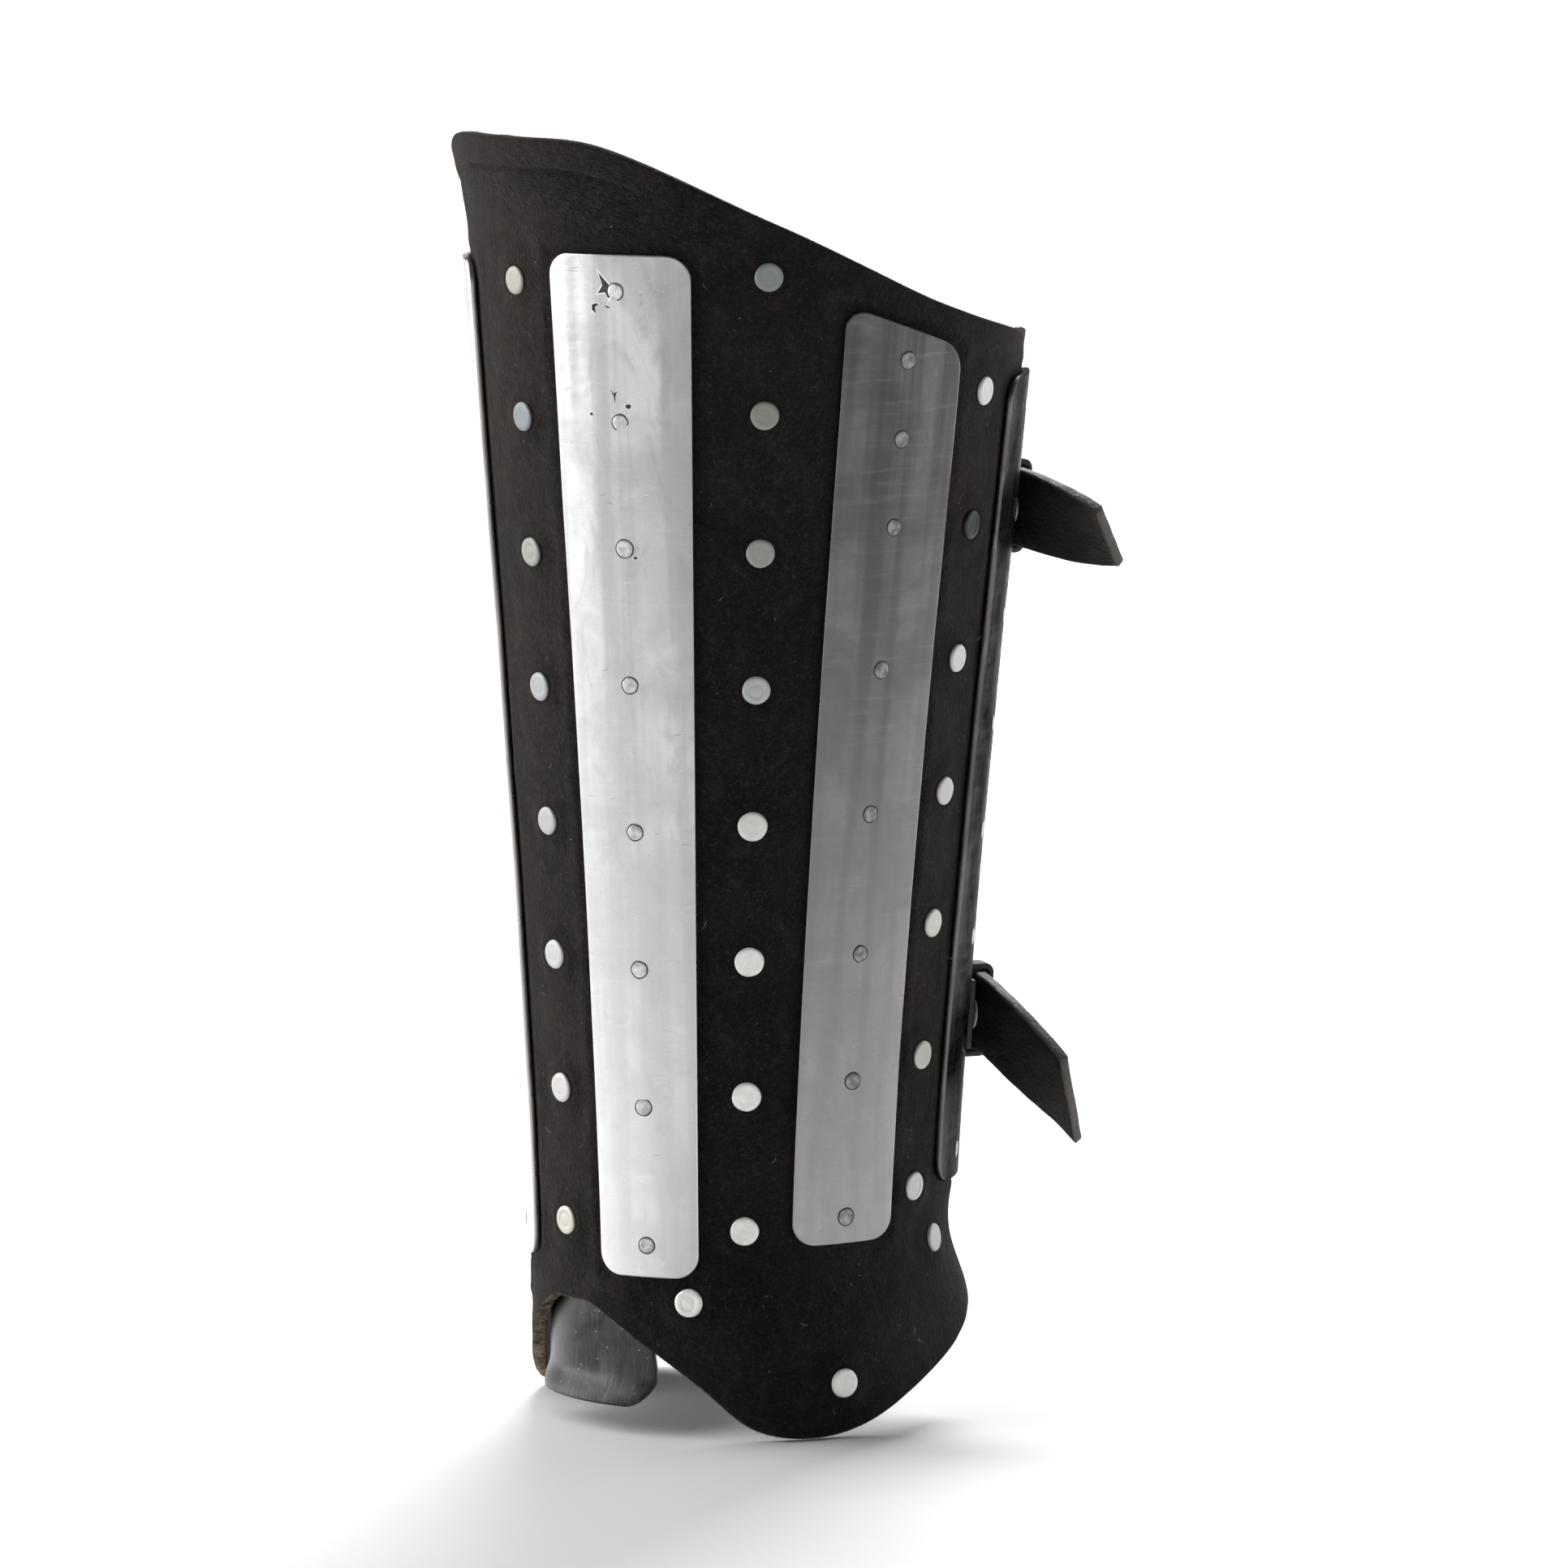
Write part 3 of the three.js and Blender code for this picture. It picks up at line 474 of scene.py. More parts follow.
def round_way(turn, lift):
    """Level direction round the wrap, towards its back on the inner side."""
    step = on_wrap(turn + 0.5, lift, 0) - on_wrap(turn - 0.5, lift, 0)
    return step / np.linalg.norm(step, axis=1)[:, None]


# Each fibre stands in the cut face of the ankle edge, the knee edge or a back edge
edge = chance.random(FRAY_COUNT)
turn = chance.uniform(-BACK_TURN, BACK_TURN, FRAY_COUNT)
at_back = edge > 0.76
turn[at_back] = np.sign(turn[at_back]) * (BACK_TURN - 0.15)
low, high = ankle_edge(turn) + 0.0002, knee_edge(turn) - 0.0002
lift = np.where(edge < 0.43, low, np.where(at_back, chance.uniform(low, high), high))
out = chance.uniform(-0.0034, -0.0006, FRAY_COUNT) + leather_relief(turn, lift)[0]
along = round_way(turn, lift)
upright = np.array([[0.0, 0.0, 1.0]])
spill = chance.normal(size=(FRAY_COUNT, 3)) * (0.5, 0.55, 0.4)
ways = along * (np.where(at_back, np.sign(turn), 0) + spill[:, 0])[:, None]
ways += np.cross(along, upright) * spill[:, 1:2]
ways += upright * (np.where(edge < 0.43, -1, np.where(at_back, 0, 1)) + spill[:, 2])[:, None]
edge_fray = add_hairs("edge_fray", on_wrap(turn, lift, out), ways,
                      chance.uniform(0.0003, 0.0011, FRAY_COUNT),
                      chance.uniform(0.00006, 0.00012, FRAY_COUNT), 0.3)

turn = chance.uniform(-168, 168, LINT_COUNT)
turn[::2] = chance.uniform(-10, 130, (LINT_COUNT + 1) // 2)
lift = chance.uniform(ankle_edge(turn) + 0.004, knee_edge(turn) - 0.004)
out = np.maximum(leather_relief(turn, lift)[0], -0.0002) + 0.0001
spill = chance.normal(size=(LINT_COUNT, 2))
lengths = np.where(chance.random(LINT_COUNT) < 0.2, chance.uniform(0.0014, 0.0030, LINT_COUNT),
                   chance.uniform(0.0003, 0.0009, LINT_COUNT))
lint = add_hairs("lint", on_wrap(turn, lift, out),
                 round_way(turn, lift) * spill[:, :1] + upright * spill[:, 1:], lengths,
                 chance.uniform(0.00007, 0.00020, LINT_COUNT), 0.5)

frayed = Finish("frayed_fibre")
patchy = frayed.sum("MULTIPLY", frayed.spread(frayed.grain(0.008, 4, 0.7), 0.38, 0.62),
                    frayed.spread(frayed.height_of(), 0.0, 0.03, 1, 0.08))
frayed_colour = frayed.blend(patchy, (0.022, 0.018, 0.015), (0.36, 0.28, 0.19))
pale_lint = Finish("pale_lint")
lint_colour = pale_lint.shade(pale_lint.grain(0.010), 0.42, 0.62, (0.035, 0.03, 0.026),
                              (0.42, 0.39, 0.34))
for piece, finish, colour in ((edge_fray, frayed, frayed_colour), (lint, pale_lint, lint_colour)):
    finish.set(Base_Color=colour, Roughness=1.0)
    finish.relief((finish.grain(0.0004), 0.0001))
    dress(piece, [finish])


# Shin plate: a steel splint inside the leather, down its front. Its wider foot shows
# under the instep arch, turned out a little at its rounded end.

PLATE_THICKNESS = 0.002
PLATE_SPAN = 50
PLATE_FOOT_SPAN = 62
PLATE_CORNER = 0.009
PLATE_DROP = 0.031
PLATE_FLARE = 0.003
PLATE_HEADROOM = 0.031
LINING_CLEARANCE = 0.0005


def softened(low, high, soft, fall):
    """Layers of a sheet whose edges are rounded off; fall is how far they drop first."""
    return [(soft, high), (0.3 * soft, high - fall * soft), (0, high - soft),
            (0, low + soft), (0.3 * soft, low + fall * soft), (soft, low)]


def bent_strip(name, middle_and_half, low, high, head, corner, thickness, out, size, lumps):
    """Steel strip bent to the wrap, with rounded corners and softened edges."""
    columns, rows, corner_rows = size
    flat = []

    def place(across, up, inset, depth):
        row = up * rows
        from_end = np.minimum(row, rows - row)
        bend = np.pi / 2 * np.minimum(1, from_end / corner_rows)
        radius = corner - inset
        length = high - low - 2 * inset
        near_end = radius * (1 - np.cos(bend)) / length
        near_end = np.where(row < rows / 2, near_end, 1 - near_end)
        body = radius / length
        body = body + (1 - 2 * body) * (row - corner_rows) / (rows - 2 * corner_rows)
        share = np.where(from_end < corner_rows, near_end, body)
        middle = low + inset + share * length
        turn, half = middle_and_half(middle)
        half = half - np.degrees((inset + radius * (1 - np.sin(bend))) / half_width(middle))
        there = turn + half * (2 * across - 1)
        lift = low + inset + share * (head(there) - low - 2 * inset)
        from_middle = np.radians(there - turn) * half_width(lift)
        flat.append(np.stack([from_middle + 0.0015 * middle_and_half(low)[0], lift], -1))
        return on_wrap(there, lift, out + depth + lumps(there, lift))

    piece = thick_sheet(name, place, columns, rows, softened(0, thickness, 0.0005, 0.12))
    lay_flat(piece, np.concatenate(flat))
    return piece


plate_foot = float(ankle_edge(0)) - PLATE_DROP
plate_head = float(knee_edge(0)) - PLATE_HEADROOM
splint_foot = splint_reach("front", 1)[0]


def plate_width(lift):
    narrowing = ease(lift, plate_foot + PLATE_CORNER, splint_foot)
    return 0 * lift, (PLATE_FOOT_SPAN + (PLATE_SPAN - PLATE_FOOT_SPAN) * narrowing) / 2


shin_plate = bent_strip(
    "inner_shin_plate", plate_width, plate_foot, plate_head, lambda turn: plate_head, PLATE_CORNER,
    PLATE_THICKNESS, -LEATHER - LINING_CLEARANCE - PLATE_THICKNESS, (36, 150, 8),
    lambda turn, lift: 0.00012 * swells(np.radians(turn) * 0.07, lift, 0.02, 5))
for point in shin_plate.data.vertices:
    lift = point.co.z + ORIGIN_LIFT
    point.co.y -= PLATE_FLARE * (1 - float(ease(lift, plate_foot, plate_foot + PLATE_CORNER)))

dull_steel = Finish("dull_plate_steel")
cloudy = dull_steel.grain(0.016, 5, 0.6, 0.8)
rubbed = dull_steel.grain(0.0012, 4, 0.65, 0, dull_steel.flat((1, 0.1, 1)))
colour = dull_steel.shade(cloudy, 0.3, 0.7, (0.024, 0.024, 0.0235), (0.055, 0.055, 0.053))
colour = dull_steel.shade(rubbed, 0.45, 0.8, colour, (0.12, 0.12, 0.115), 0, 0.35)
colour = dull_steel.shade(dull_steel.cells(0.0034), 0.02, 0.14, colour, (0.26, 0.255, 0.24), 0.6, 0)
dull_steel.set(Base_Color=colour, Metallic=1.0,
               Roughness=dull_steel.spread(cloudy, 0.3, 0.7, 0.28, 0.4))
dull_steel.relief((rubbed, 0.00006), (dull_steel.grain(0.0006, 3, 0.6), 0.00003))
dress(shin_plate, [dull_steel], "shin_plate")


# Outer splints: six flat steel strips, three to a side, cut with round corners, bent
# to the leather and ground to a satin face. Each is held by eight small rivets that
# are hammered nearly flush.

SPLINT_THICKNESS = 0.002
SPLINT_CORNER = 0.007
SMALL_RIVET_RADIUS = 0.0024


def satin_steel(name, dark, light, smear, reflection_band_colour, polish_and_reflection, foot_reflection, rim):
    """Ground steel: dark and light cloud it, smears run down it, and long darker streaks of painted
    reflection run down it too. Its foot is painted lighter, a painted reflection, by a given share;
    rim is how bright it stays edge on."""
    steel = Finish(name)
    cloudy = steel.grain(0.030, 4, 0.55, 1.0)
    smeared = steel.grain(0.011, 5, 0.62, 1.8, steel.flat((1, 0.55, 1), 0.5))
    reflection_bands = steel.grain(0.0075, 3, 0.5, 0.25, steel.flat((1, 0.035, 1), 0.02))
    ground = steel.grain(0.0022, 5, 0.7, 0, steel.flat((0.09, 1, 1), 0.05))
    scored = steel.grain(0.0045, 2, 0.5, 0.3, steel.flat((0.05, 1, 1), -0.22))
    colour = steel.shade(cloudy, 0.3, 0.7, dark, light)
    # Painted reflection: long darker bands run down the strip.
    colour = steel.shade(reflection_bands, 0.4, 0.62, colour, reflection_band_colour, 0, 0.8)
    colour = steel.shade(smeared, 0.48, 0.72, colour, smear, 0, 0.5)
    # Painted reflection: the strip is made lighter towards its foot, in the same bright colour as
    # its grinding lines.
    colour = steel.shade(steel.height_of(), -0.04, 0.27, colour, polish_and_reflection, foot_reflection, 0)
    colour = steel.shade(ground, 0.5, 0.8, colour, polish_and_reflection, 0, 0.17)
    colour = steel.shade(scored, 0.72, 0.8, colour, polish_and_reflection, 0, 0.2)
    rough = steel.sum("ADD", steel.spread(smeared, 0.3, 0.75, 0.27, 0.40),
                      steel.spread(ground, 0.35, 0.7, -0.03, 0.04))
    steel.set(Base_Color=colour, Metallic=1.0, Roughness=rough, Specular_Tint=(rim, rim, rim, 1))
    steel.relief((steel.grain(0.012, 3, 0.5), 0.00022), (ground, 0.000045))
    return steel


# Lit and shaded copies of one ground steel: the front copy is painted lit, the side copy painted in
# shade, and the back copy in deeper shade with its edge-on shine cut down as well.
SPLINT_FINISHES = {
    "front": satin_steel("lit_splint_steel", (0.42, 0.425, 0.425), (0.59, 0.595, 0.60),
                         (0.31, 0.315, 0.31), (0.36, 0.36, 0.355), (0.78, 0.78, 0.78), 0.55, 1),
    "side": satin_steel("shaded_splint_steel", (0.095, 0.097, 0.092), (0.16, 0.163, 0.155),
                        (0.10, 0.103, 0.095), (0.065, 0.063, 0.068), (0.42, 0.42, 0.41), 0.62, 1),
    "back": satin_steel("deep_shaded_splint_steel", (0.10, 0.10, 0.10), (0.19, 0.19, 0.185),
                        (0.09, 0.09, 0.085), (0.08, 0.078, 0.084), (0.25, 0.25, 0.24), 0.3, 0.15),
}


def flecked_steel(name, dark, light, size, metallic, roughness, *bumps):
    """Steel that goes from dark to light in flecks of a size, with bumps of a size and depth."""
    steel = Finish(name)
    steel.set(Base_Color=steel.blend(steel.grain(size), dark, light), Metallic=metallic,
              Roughness=roughness)
    steel.relief((steel.grain(bumps[0]), bumps[1]))
    return steel


rivet_seam = flecked_steel("rivet_seam", (0.02, 0.02, 0.02), (0.12, 0.12, 0.115), 0.001, 0.6, 0.6,
                           0.0005, 0.0001)


def peened_steel(name, dark, light):
    """Small rivet heads, dinted by the hammer and ground with their splint; each copy is painted lit
    or shaded like its splint.
    """
    steel = Finish(name)
    steel.set(Base_Color=steel.shade(steel.grain(0.0022), 0.3, 0.7, dark, light), Metallic=1.0,
              Roughness=0.34)
    steel.relief((steel.cells(0.0013), 0.00007), (steel.grain(0.0006), 0.00004))
    return steel


# Lit and shaded copies of one hammered steel, painted like the splints they hold: lit in front,
# shaded at the side, deeper shade at the back.
RIVET_FINISHES = {
    "front": peened_steel("lit_hammered_steel", (0.34, 0.34, 0.335), (0.60, 0.60, 0.59)),
    "side": peened_steel("shaded_hammered_steel", (0.13, 0.13, 0.125), (0.30, 0.30, 0.29)),
    "back": peened_steel("deep_shaded_hammered_steel", (0.10, 0.10, 0.095), (0.22, 0.22, 0.21)),
}


def seat_on_wrap(turn, lift, out):
    """Matrix whose Z axis points straight out of the leather at a place."""
    here = Vector(on_wrap(turn, lift, 0))
    round_wrap = (Vector(on_wrap(turn + 0.5, lift, 0)) - here).normalized()
    outward = round_wrap.cross(Vector(on_wrap(turn, lift + 0.001, 0)) - here).normalized()
    up = outward.cross(round_wrap)
    seat = Matrix((round_wrap, up, outward)).transposed().to_4x4()
    seat.translation = here + outward * out
    return seat


def turned(profile, sides, seat, kinds=None, wobble=0.0):
    """Points, faces and kinds of a turned form; profile runs from the axis round to it again."""
    points, faces, face_kinds = [], [], []
    for i, (radius, height) in enumerate(profile):
        for j in range(sides):
            angle = 2 * math.pi * j / sides
            reach = radius * (1 + wobble * math.sin(3 * angle + i) + wobble * math.sin(5 * angle))
            points.append(seat @ Vector((reach * math.cos(angle), reach * math.sin(angle), height)))
    for i in range(len(profile) - 1):
        for j in range(sides):
            k = (j + 1) % sides
            faces.append((i * sides + j, i * sides + k, (i + 1) * sides + k, (i + 1) * sides + j))
            face_kinds.append(kinds[i] if kinds else 0)
    return points, faces, face_kinds


def add_parts(name, parts):
    """One piece from several turned forms."""
    points, faces, kinds = [], [], []
    for part_points, part_faces, part_kinds in parts:
        start = len(points)
        points += part_points
        faces += [tuple(start + corner for corner in face) for face in part_faces]
        kinds += part_kinds
    return add_piece(name, points, faces, kinds)


def add_splint(name, side, number):
    """One splint and its rivets; gives back the height of its hammered face."""
    splint, where = SPLINTS[name], "medial" if side > 0 else "lateral"
    low, high, head_turn = splint_reach(name, side)
    slope = HEIGHT * splint["slant"] / splint["span"]
    seed = 20 + 2 * number + (side > 0)

    def lumps(turn, lift):
        round_wrap = np.radians(turn) * 0.075
        height = 0.00016 * swells(round_wrap, lift, 0.04, seed)
        height += 0.00005 * swells(round_wrap, lift, 0.014, seed + 40)
        edge = np.minimum(1, np.minimum(lift - low, high - lift) / 0.02)
        return height * np.clip(edge, 0.3, 1)

    strip = bent_strip(
        f"splint_{name}_{where}_steel", lambda lift: splint_turn(name, side, lift), low, high,
        lambda turn: high - slope * (np.abs(turn) - head_turn), SPLINT_CORNER, SPLINT_THICKNESS,
        CLEARANCE, (26, 150, 8), lumps)
    dress(strip, [SPLINT_FINISHES[name]], f"splint_{name}_{where}")

    parts = []
    for share in splint["rivets"]:
        lift = low + (high - low) * share
        turn = float(splint_turn(name, side, lift)[0])
        seat = seat_on_wrap(turn, lift, CLEARANCE + SPLINT_THICKNESS + float(lumps(turn, lift)))
        seat = seat @ Matrix.Rotation(random.uniform(0, 6.28), 4, "Z")
        seat = seat @ Matrix.Rotation(random.gauss(0, 0.02), 4, "X")
        r = SMALL_RIVET_RADIUS * random.uniform(0.95, 1.06)
        parts.append(turned(
            [(0, -0.0010), (r + 0.0004, -0.0010), (r + 0.0004, 0.00003), (r + 0.0001, 0.00005),
             (r, 0.00005), (r - 0.0001, 0.00010), (r - 0.0004, 0.00015), (r - 0.0009, 0.00018),
             (r * 0.3, 0.00019), (0, 0.00019)],
            28, seat, [1, 1, 1, 1, 0, 0, 0, 0, 0], 0.012))
    rivets = add_parts(f"splint_{name}_{where}_rivets", parts)
    dress(rivets, [RIVET_FINISHES[name], rivet_seam])
    return lumps


splint_faces = {}
for side in (1, -1):
    for number, name in enumerate(SPLINTS):
        splint_faces[name, side] = add_splint(name, side, number)


# Marks of use on the inner front splint: a torn nick, two ticks and pits beside its
# top rivets, and short bright scores where something scraped across it.

MARK_SHAPES = [
    (0, [(-0.9, 0.9), (-2.0, 1.6), (-4.3, 4.2), (-3.5, 1.3), (-4.6, -0.4), (-2.9, -0.1),
         (-2.2, -1.5), (-1.2, -0.3)]),
    (0, [(-6.9, -4.3), (-6.1, -4.0), (-5.3, -4.1), (-6.2, -4.5), (-6.6, -5.4), (-6.1, -6.3),
         (-7.0, -5.4)]),
    (0, [(-3.3, -4.3), (-2.2, -4.5), (-1.6, -5.0), (-2.4, -4.9)]),
    (1, [(-2.4, 9.3), (-1.5, 8.4), (-0.7, 9.0), (-1.1, 7.9), (-1.3, 5.9), (-1.6, 7.8)]),
    (1, [(2.3, 5.2), (3.0, 5.3), (3.4, 4.8), (3.0, 4.2), (2.3, 4.3), (2.0, 4.8)]),
    (1, [(-9.2, 2.3), (-8.6, 2.5), (-8.2, 2.0), (-8.8, 1.7)]),
    (2, [(2.8, -2.6), (3.6, -2.4), (3.9, -2.9), (3.1, -3.2)]),
]
MARK_SCALE = 1.35
BURR_SCALE = 1.7
SCORE_COUNT = 90
CROSS_SCORES = 26
front_low, front_high, _ = splint_reach("front", 1)


def on_front_splint(rivet, x, y, out):
    """Point beside one of its rivets, counted from the top, with x and y in mm."""
    lift = front_low + (front_high - front_low) * SPLINTS["front"]["rivets"][-1 - rivet]
    turn = float(splint_turn("front", 1, lift)[0])
    turn += math.degrees(x / 1000 / float(half_width(lift)))
    face = CLEARANCE + SPLINT_THICKNESS + float(splint_faces["front", 1](turn, lift + y / 1000))
    return on_wrap(turn, lift + y / 1000, face + out)


points, faces, kinds = [], [], []
for rivet, outline in MARK_SHAPES:
    cx, cy = np.mean(outline, axis=0)
    for swell, out, kind in ((BURR_SCALE, 0.00004, 1), (MARK_SCALE, 0.00007, 0)):
        start = len(points)
        points += [on_front_splint(rivet, cx + (x - cx) * swell, cy + (y - cy) * swell, out)
                   for x, y in outline]
        points.append(on_front_splint(rivet, cx, cy, out + 0.00002))
        count = len(outline)
        faces += [(start + i, start + (i + 1) % count, start + count) for i in range(count)]
        kinds += [kind] * count
for i in range(SCORE_COUNT):
    rivet = random.choice((0, 0, 1, 2, 3, 4, 5, 6))
    x, y = random.uniform(-14, 15), random.uniform(-20, 20)
    crossed = i < CROSS_SCORES
    if crossed:
        rivet, x, y = 0, random.uniform(7, 14), random.uniform(-14, 1)
    if abs(x) < 3.5 and abs(y) < 3.5:
        continue
    slant = random.gauss(0.9, 0.2) if crossed else random.gauss(0.12, 0.25)
    long = random.uniform(0.5, 1.8) if crossed else random.uniform(0.8, 4.5)
    dx, dy = math.cos(slant) * long / 2, math.sin(slant) * long / 2
    start = len(points)
    thin = random.uniform(0.03, 0.07)
    corners = ((-dx, -dy), (0, -thin), (dx, dy), (0, thin))
    points += [on_front_splint(rivet, x + a, y + b, 0.00003) for a, b in corners]
    faces.append((start, start + 1, start + 2, start + 3))
    kinds.append(1 if i % 3 else 0)
marks = add_piece("front_splint_marks", points, faces, kinds)
pit = flecked_steel("dark_pit_steel", (0.012, 0.012, 0.012), (0.09, 0.09, 0.088), 0.0008, 0.7,
                    0.55, 0.0006, 0.00015)
burr = flecked_steel("bright_burr_steel", (0.62, 0.62, 0.62), (0.88, 0.88, 0.88), 0.0008, 1.0, 0.3,
                     0.0006, 0.0001)
dress(marks, [pit, burr])


# Disc rivets: pale steel rivets with wide flat heads, in rows between the splints and
# three to each lobe. Their shanks are clenched inside the leather.

DISC_RADIUS = 0.0044
DISC_HEIGHT = 0.0011
SHANK_RADIUS = 0.0016
CLENCH_RADIUS = 0.0027
CLENCH_HEIGHT = 0.0009

disc_steel = Finish("pale_disc_steel")
mottled = disc_steel.grain(0.0035, 5, 0.65, 0.8)
# The number noted on each rivet dims its pale steel toward a dull grey tint, as painted shade, and
# from one to two on toward near black.
dimmed = disc_steel.noted("dimming")
colour = disc_steel.shade(mottled, 0.35, 0.7, (0.78, 0.785, 0.75), (0.94, 0.94, 0.90))
tint = disc_steel.blend(disc_steel.noted("warmth"), (0.15, 0.17, 0.18), (0.25, 0.22, 0.17))
colour = disc_steel.blend(dimmed, colour, tint)
colour = disc_steel.shade(dimmed, 1, 2, colour, (0.012, 0.011, 0.011))
colour = disc_steel.shade(disc_steel.cells(0.0016), 0, 0.1, colour, (0.2, 0.185, 0.16), 0.5, 0)
disc_steel.set(Base_Color=colour, Metallic=0.45,
               Roughness=disc_steel.spread(mottled, 0.3, 0.7, 0.34, 0.52))
disc_steel.relief((mottled, 0.00012), (disc_steel.grain(0.0005, 3, 0.6), 0.00005))


def disc_rivet(seat, grip):
    """One disc rivet: its foot is clenched a grip below its seat."""
    r, h = DISC_RADIUS * random.uniform(0.97, 1.02), DISC_HEIGHT
    ringed = random.choice((0, 0.00008, 0.00016))
    foot = -grip
    profile = [
        (0, foot - 0.8 * CLENCH_HEIGHT), (0.6 * CLENCH_RADIUS, foot - CLENCH_HEIGHT),
        (0.95 * CLENCH_RADIUS, foot - 0.7 * CLENCH_HEIGHT),
        (CLENCH_RADIUS, foot - 0.3 * CLENCH_HEIGHT), (SHANK_RADIUS, foot), (SHANK_RADIUS, 0),
        (0.93 * r, 0), (0.985 * r, 0.12 * h), (r, 0.35 * h), (0.985 * r, 0.6 * h),
        (0.94 * r, 0.8 * h), (0.86 * r, 0.93 * h), (0.74 * r, 0.985 * h), (0.58 * r, h),
        (0.50 * r, h - ringed), (0.42 * r, h - 0.5 * ringed), (0.2 * r, h), (0, h)]
    seat = seat @ Matrix.Rotation(random.uniform(0, 6.28), 4, "Z")
    seat = seat @ Matrix.Rotation(random.gauss(0, 0.012), 4, "X")
    return turned(profile, 36, seat, None, 0.006)


def add_disc(name, seat, grip, node=None, dimming=(0.6, 0.6)):
    """Adds a disc rivet; its last pair is how far it is dimmed when low and when high."""
    rivet = add_parts(name, [disc_rivet(seat, grip)])
    share = float(ease(seat.translation.z, 0.05, 0.26))
    dimmed = dimming[0] + (dimming[1] - dimming[0]) * share + random.uniform(-0.06, 0.04)
    count = len(rivet.data.vertices)
    note_points(rivet, "dimming", [max(0, dimmed)] * count)
    note_points(rivet, "warmth", [random.random()] * count)
    dress(rivet, [disc_steel], node)


plate_grip = CLEARANCE + LEATHER + LINING_CLEARANCE + PLATE_THICKNESS
# Painted shade: the shin rivets are dimmed, more towards the top.
for number, lift in enumerate(row_lifts(*SHIN_ROW), 1):
    add_disc(f"shin_disc_{number}", seat_on_wrap(0, lift, CLEARANCE), plate_grip, None, (0.62, 0.97))
wrap_grip = LEATHER + 2 * CLEARANCE
for side, where in ((1, "medial"), (-1, "lateral")):
    for row, places in SIDE_ROWS.items():
        for number, lift in enumerate(row_lifts(*places), 1):
            # Painted shade: each row's rivets are dimmed by height; the sixth inner heel rivet, at
            # the upper strap's height, is instead darkened to near black.
            dimming = {"calf": (0, 0.97), "heel": (0.55, 0.5)}[row]
            if (row, where, number) == ("heel", "medial", 6):
                dimming = (2, 2)
            add_disc(f"{row}_disc_{where}_{number}", seat_on_wrap(side * places[0], lift, CLEARANCE),
                     wrap_grip, f"rivet_{row}_{where}_{number}", dimming)
    for number, (turn, above) in enumerate(LOBE_RIVETS, 1):
        lift = float(ankle_edge(turn)) + HEIGHT * above
        # Painted shade: the hindmost rivet of each lobe is dimmed.
        add_disc(f"lobe_disc_{where}_{number}", seat_on_wrap(side * turn, lift, CLEARANCE),
                 wrap_grip, f"rivet_lobe_{where}_{number}", (0.65, 0) if number == 3 else (0, 0))


# Straps: two strips of smoother black leather. Each is riveted to the outer back edge,
# crosses the gap, passes through its buckle and leaves a free tail on the inner side.

STRAP_WIDTH = 0.024
STRAP_THICKNESS = 0.0035
CHAPE_WIDTH = 0.021
CHAPE_THICKNESS = 0.0044
EDGE_TO_BUCKLE_BAR = 0.008
EDGE_TO_STRAP_RIVET = 0.0085
EDGE_TO_STRAP_END = 0.013
BUCKLE_REACH = 0.020
BUCKLE_WIDTH = 0.034
BUCKLE_BAR = 0.003
PRONG_RADIUS = 0.0013
KEEPER_WIDTH = 0.0075
KEEPER_THICKNESS = 0.0018
KEEPER_EASE = 0.0015
STRAPS = {
    "upper": {"at": 0.6935, "tail": 1.97, "cut": 0.05, "turn_out": 17, "droop": 12, "roll": 42},
    "lower": {"at": 0.298, "tail": 2.1, "cut": 0.83, "turn_out": 32, "droop": 45, "roll": 45},
}

strap_leather = Finish("black_strap_leather")
worn = strap_leather.grain(0.012, 5, 0.65, 0.6)
pores = strap_leather.cells(0.0011)
fibre = strap_leather.grain(0.0009, 5, 0.7)
colour = strap_leather.shade(worn, 0.35, 0.68, (0.007, 0.0065, 0.0065), (0.021, 0.019, 0.0185))
raw_colour = strap_leather.blend(fibre, (0.035, 0.031, 0.029), (0.16, 0.145, 0.13))
colour = strap_leather.shade(strap_leather.noted("to_edge"), 0.0001, 0.0011, colour, raw_colour,
                             0.85, 0)
strap_leather.set(Base_Color=colour, Specular_IOR_Level=0.22,
                  Roughness=strap_leather.spread(worn, 0.3, 0.7, 0.52, 0.75))
strap_leather.relief((worn, 0.0005), (pores, 0.0002), (fibre, 0.00015))


def cut_away(piece, tool):
    """Cuts a tool out of a piece and throws the tool away."""
    cutter = piece.modifiers.new("cut", "BOOLEAN")
    cutter.operation = "DIFFERENCE"
    cutter.solver = "EXACT"
    cutter.object = tool
    bpy.context.view_layer.update()
    shaped = piece.evaluated_get(bpy.context.evaluated_depsgraph_get())
    mesh = bpy.data.meshes.new_from_object(shaped)
    piece.modifiers.clear()
    piece.data = mesh
    bpy.data.objects.remove(tool)


def punch(outline, bend, low, high):
    """Tool with an outline of (along, across) points that reaches from low to high."""
    count = len(outline)
    points = [bend(x, y, z) for z in (low, high) for x, y in outline]
    faces = [tuple(range(count))[::-1], tuple(range(count, 2 * count))]
    faces += [(i, (i + 1) % count, count + (i + 1) % count, count + i) for i in range(count)]
    mesh = bpy.data.meshes.new("punch")
    mesh.from_pydata([tuple(point) for point in points], [], faces)
    tool = bpy.data.objects.new("punch", mesh)
    bpy.context.scene.collection.objects.link(tool)
    return tool


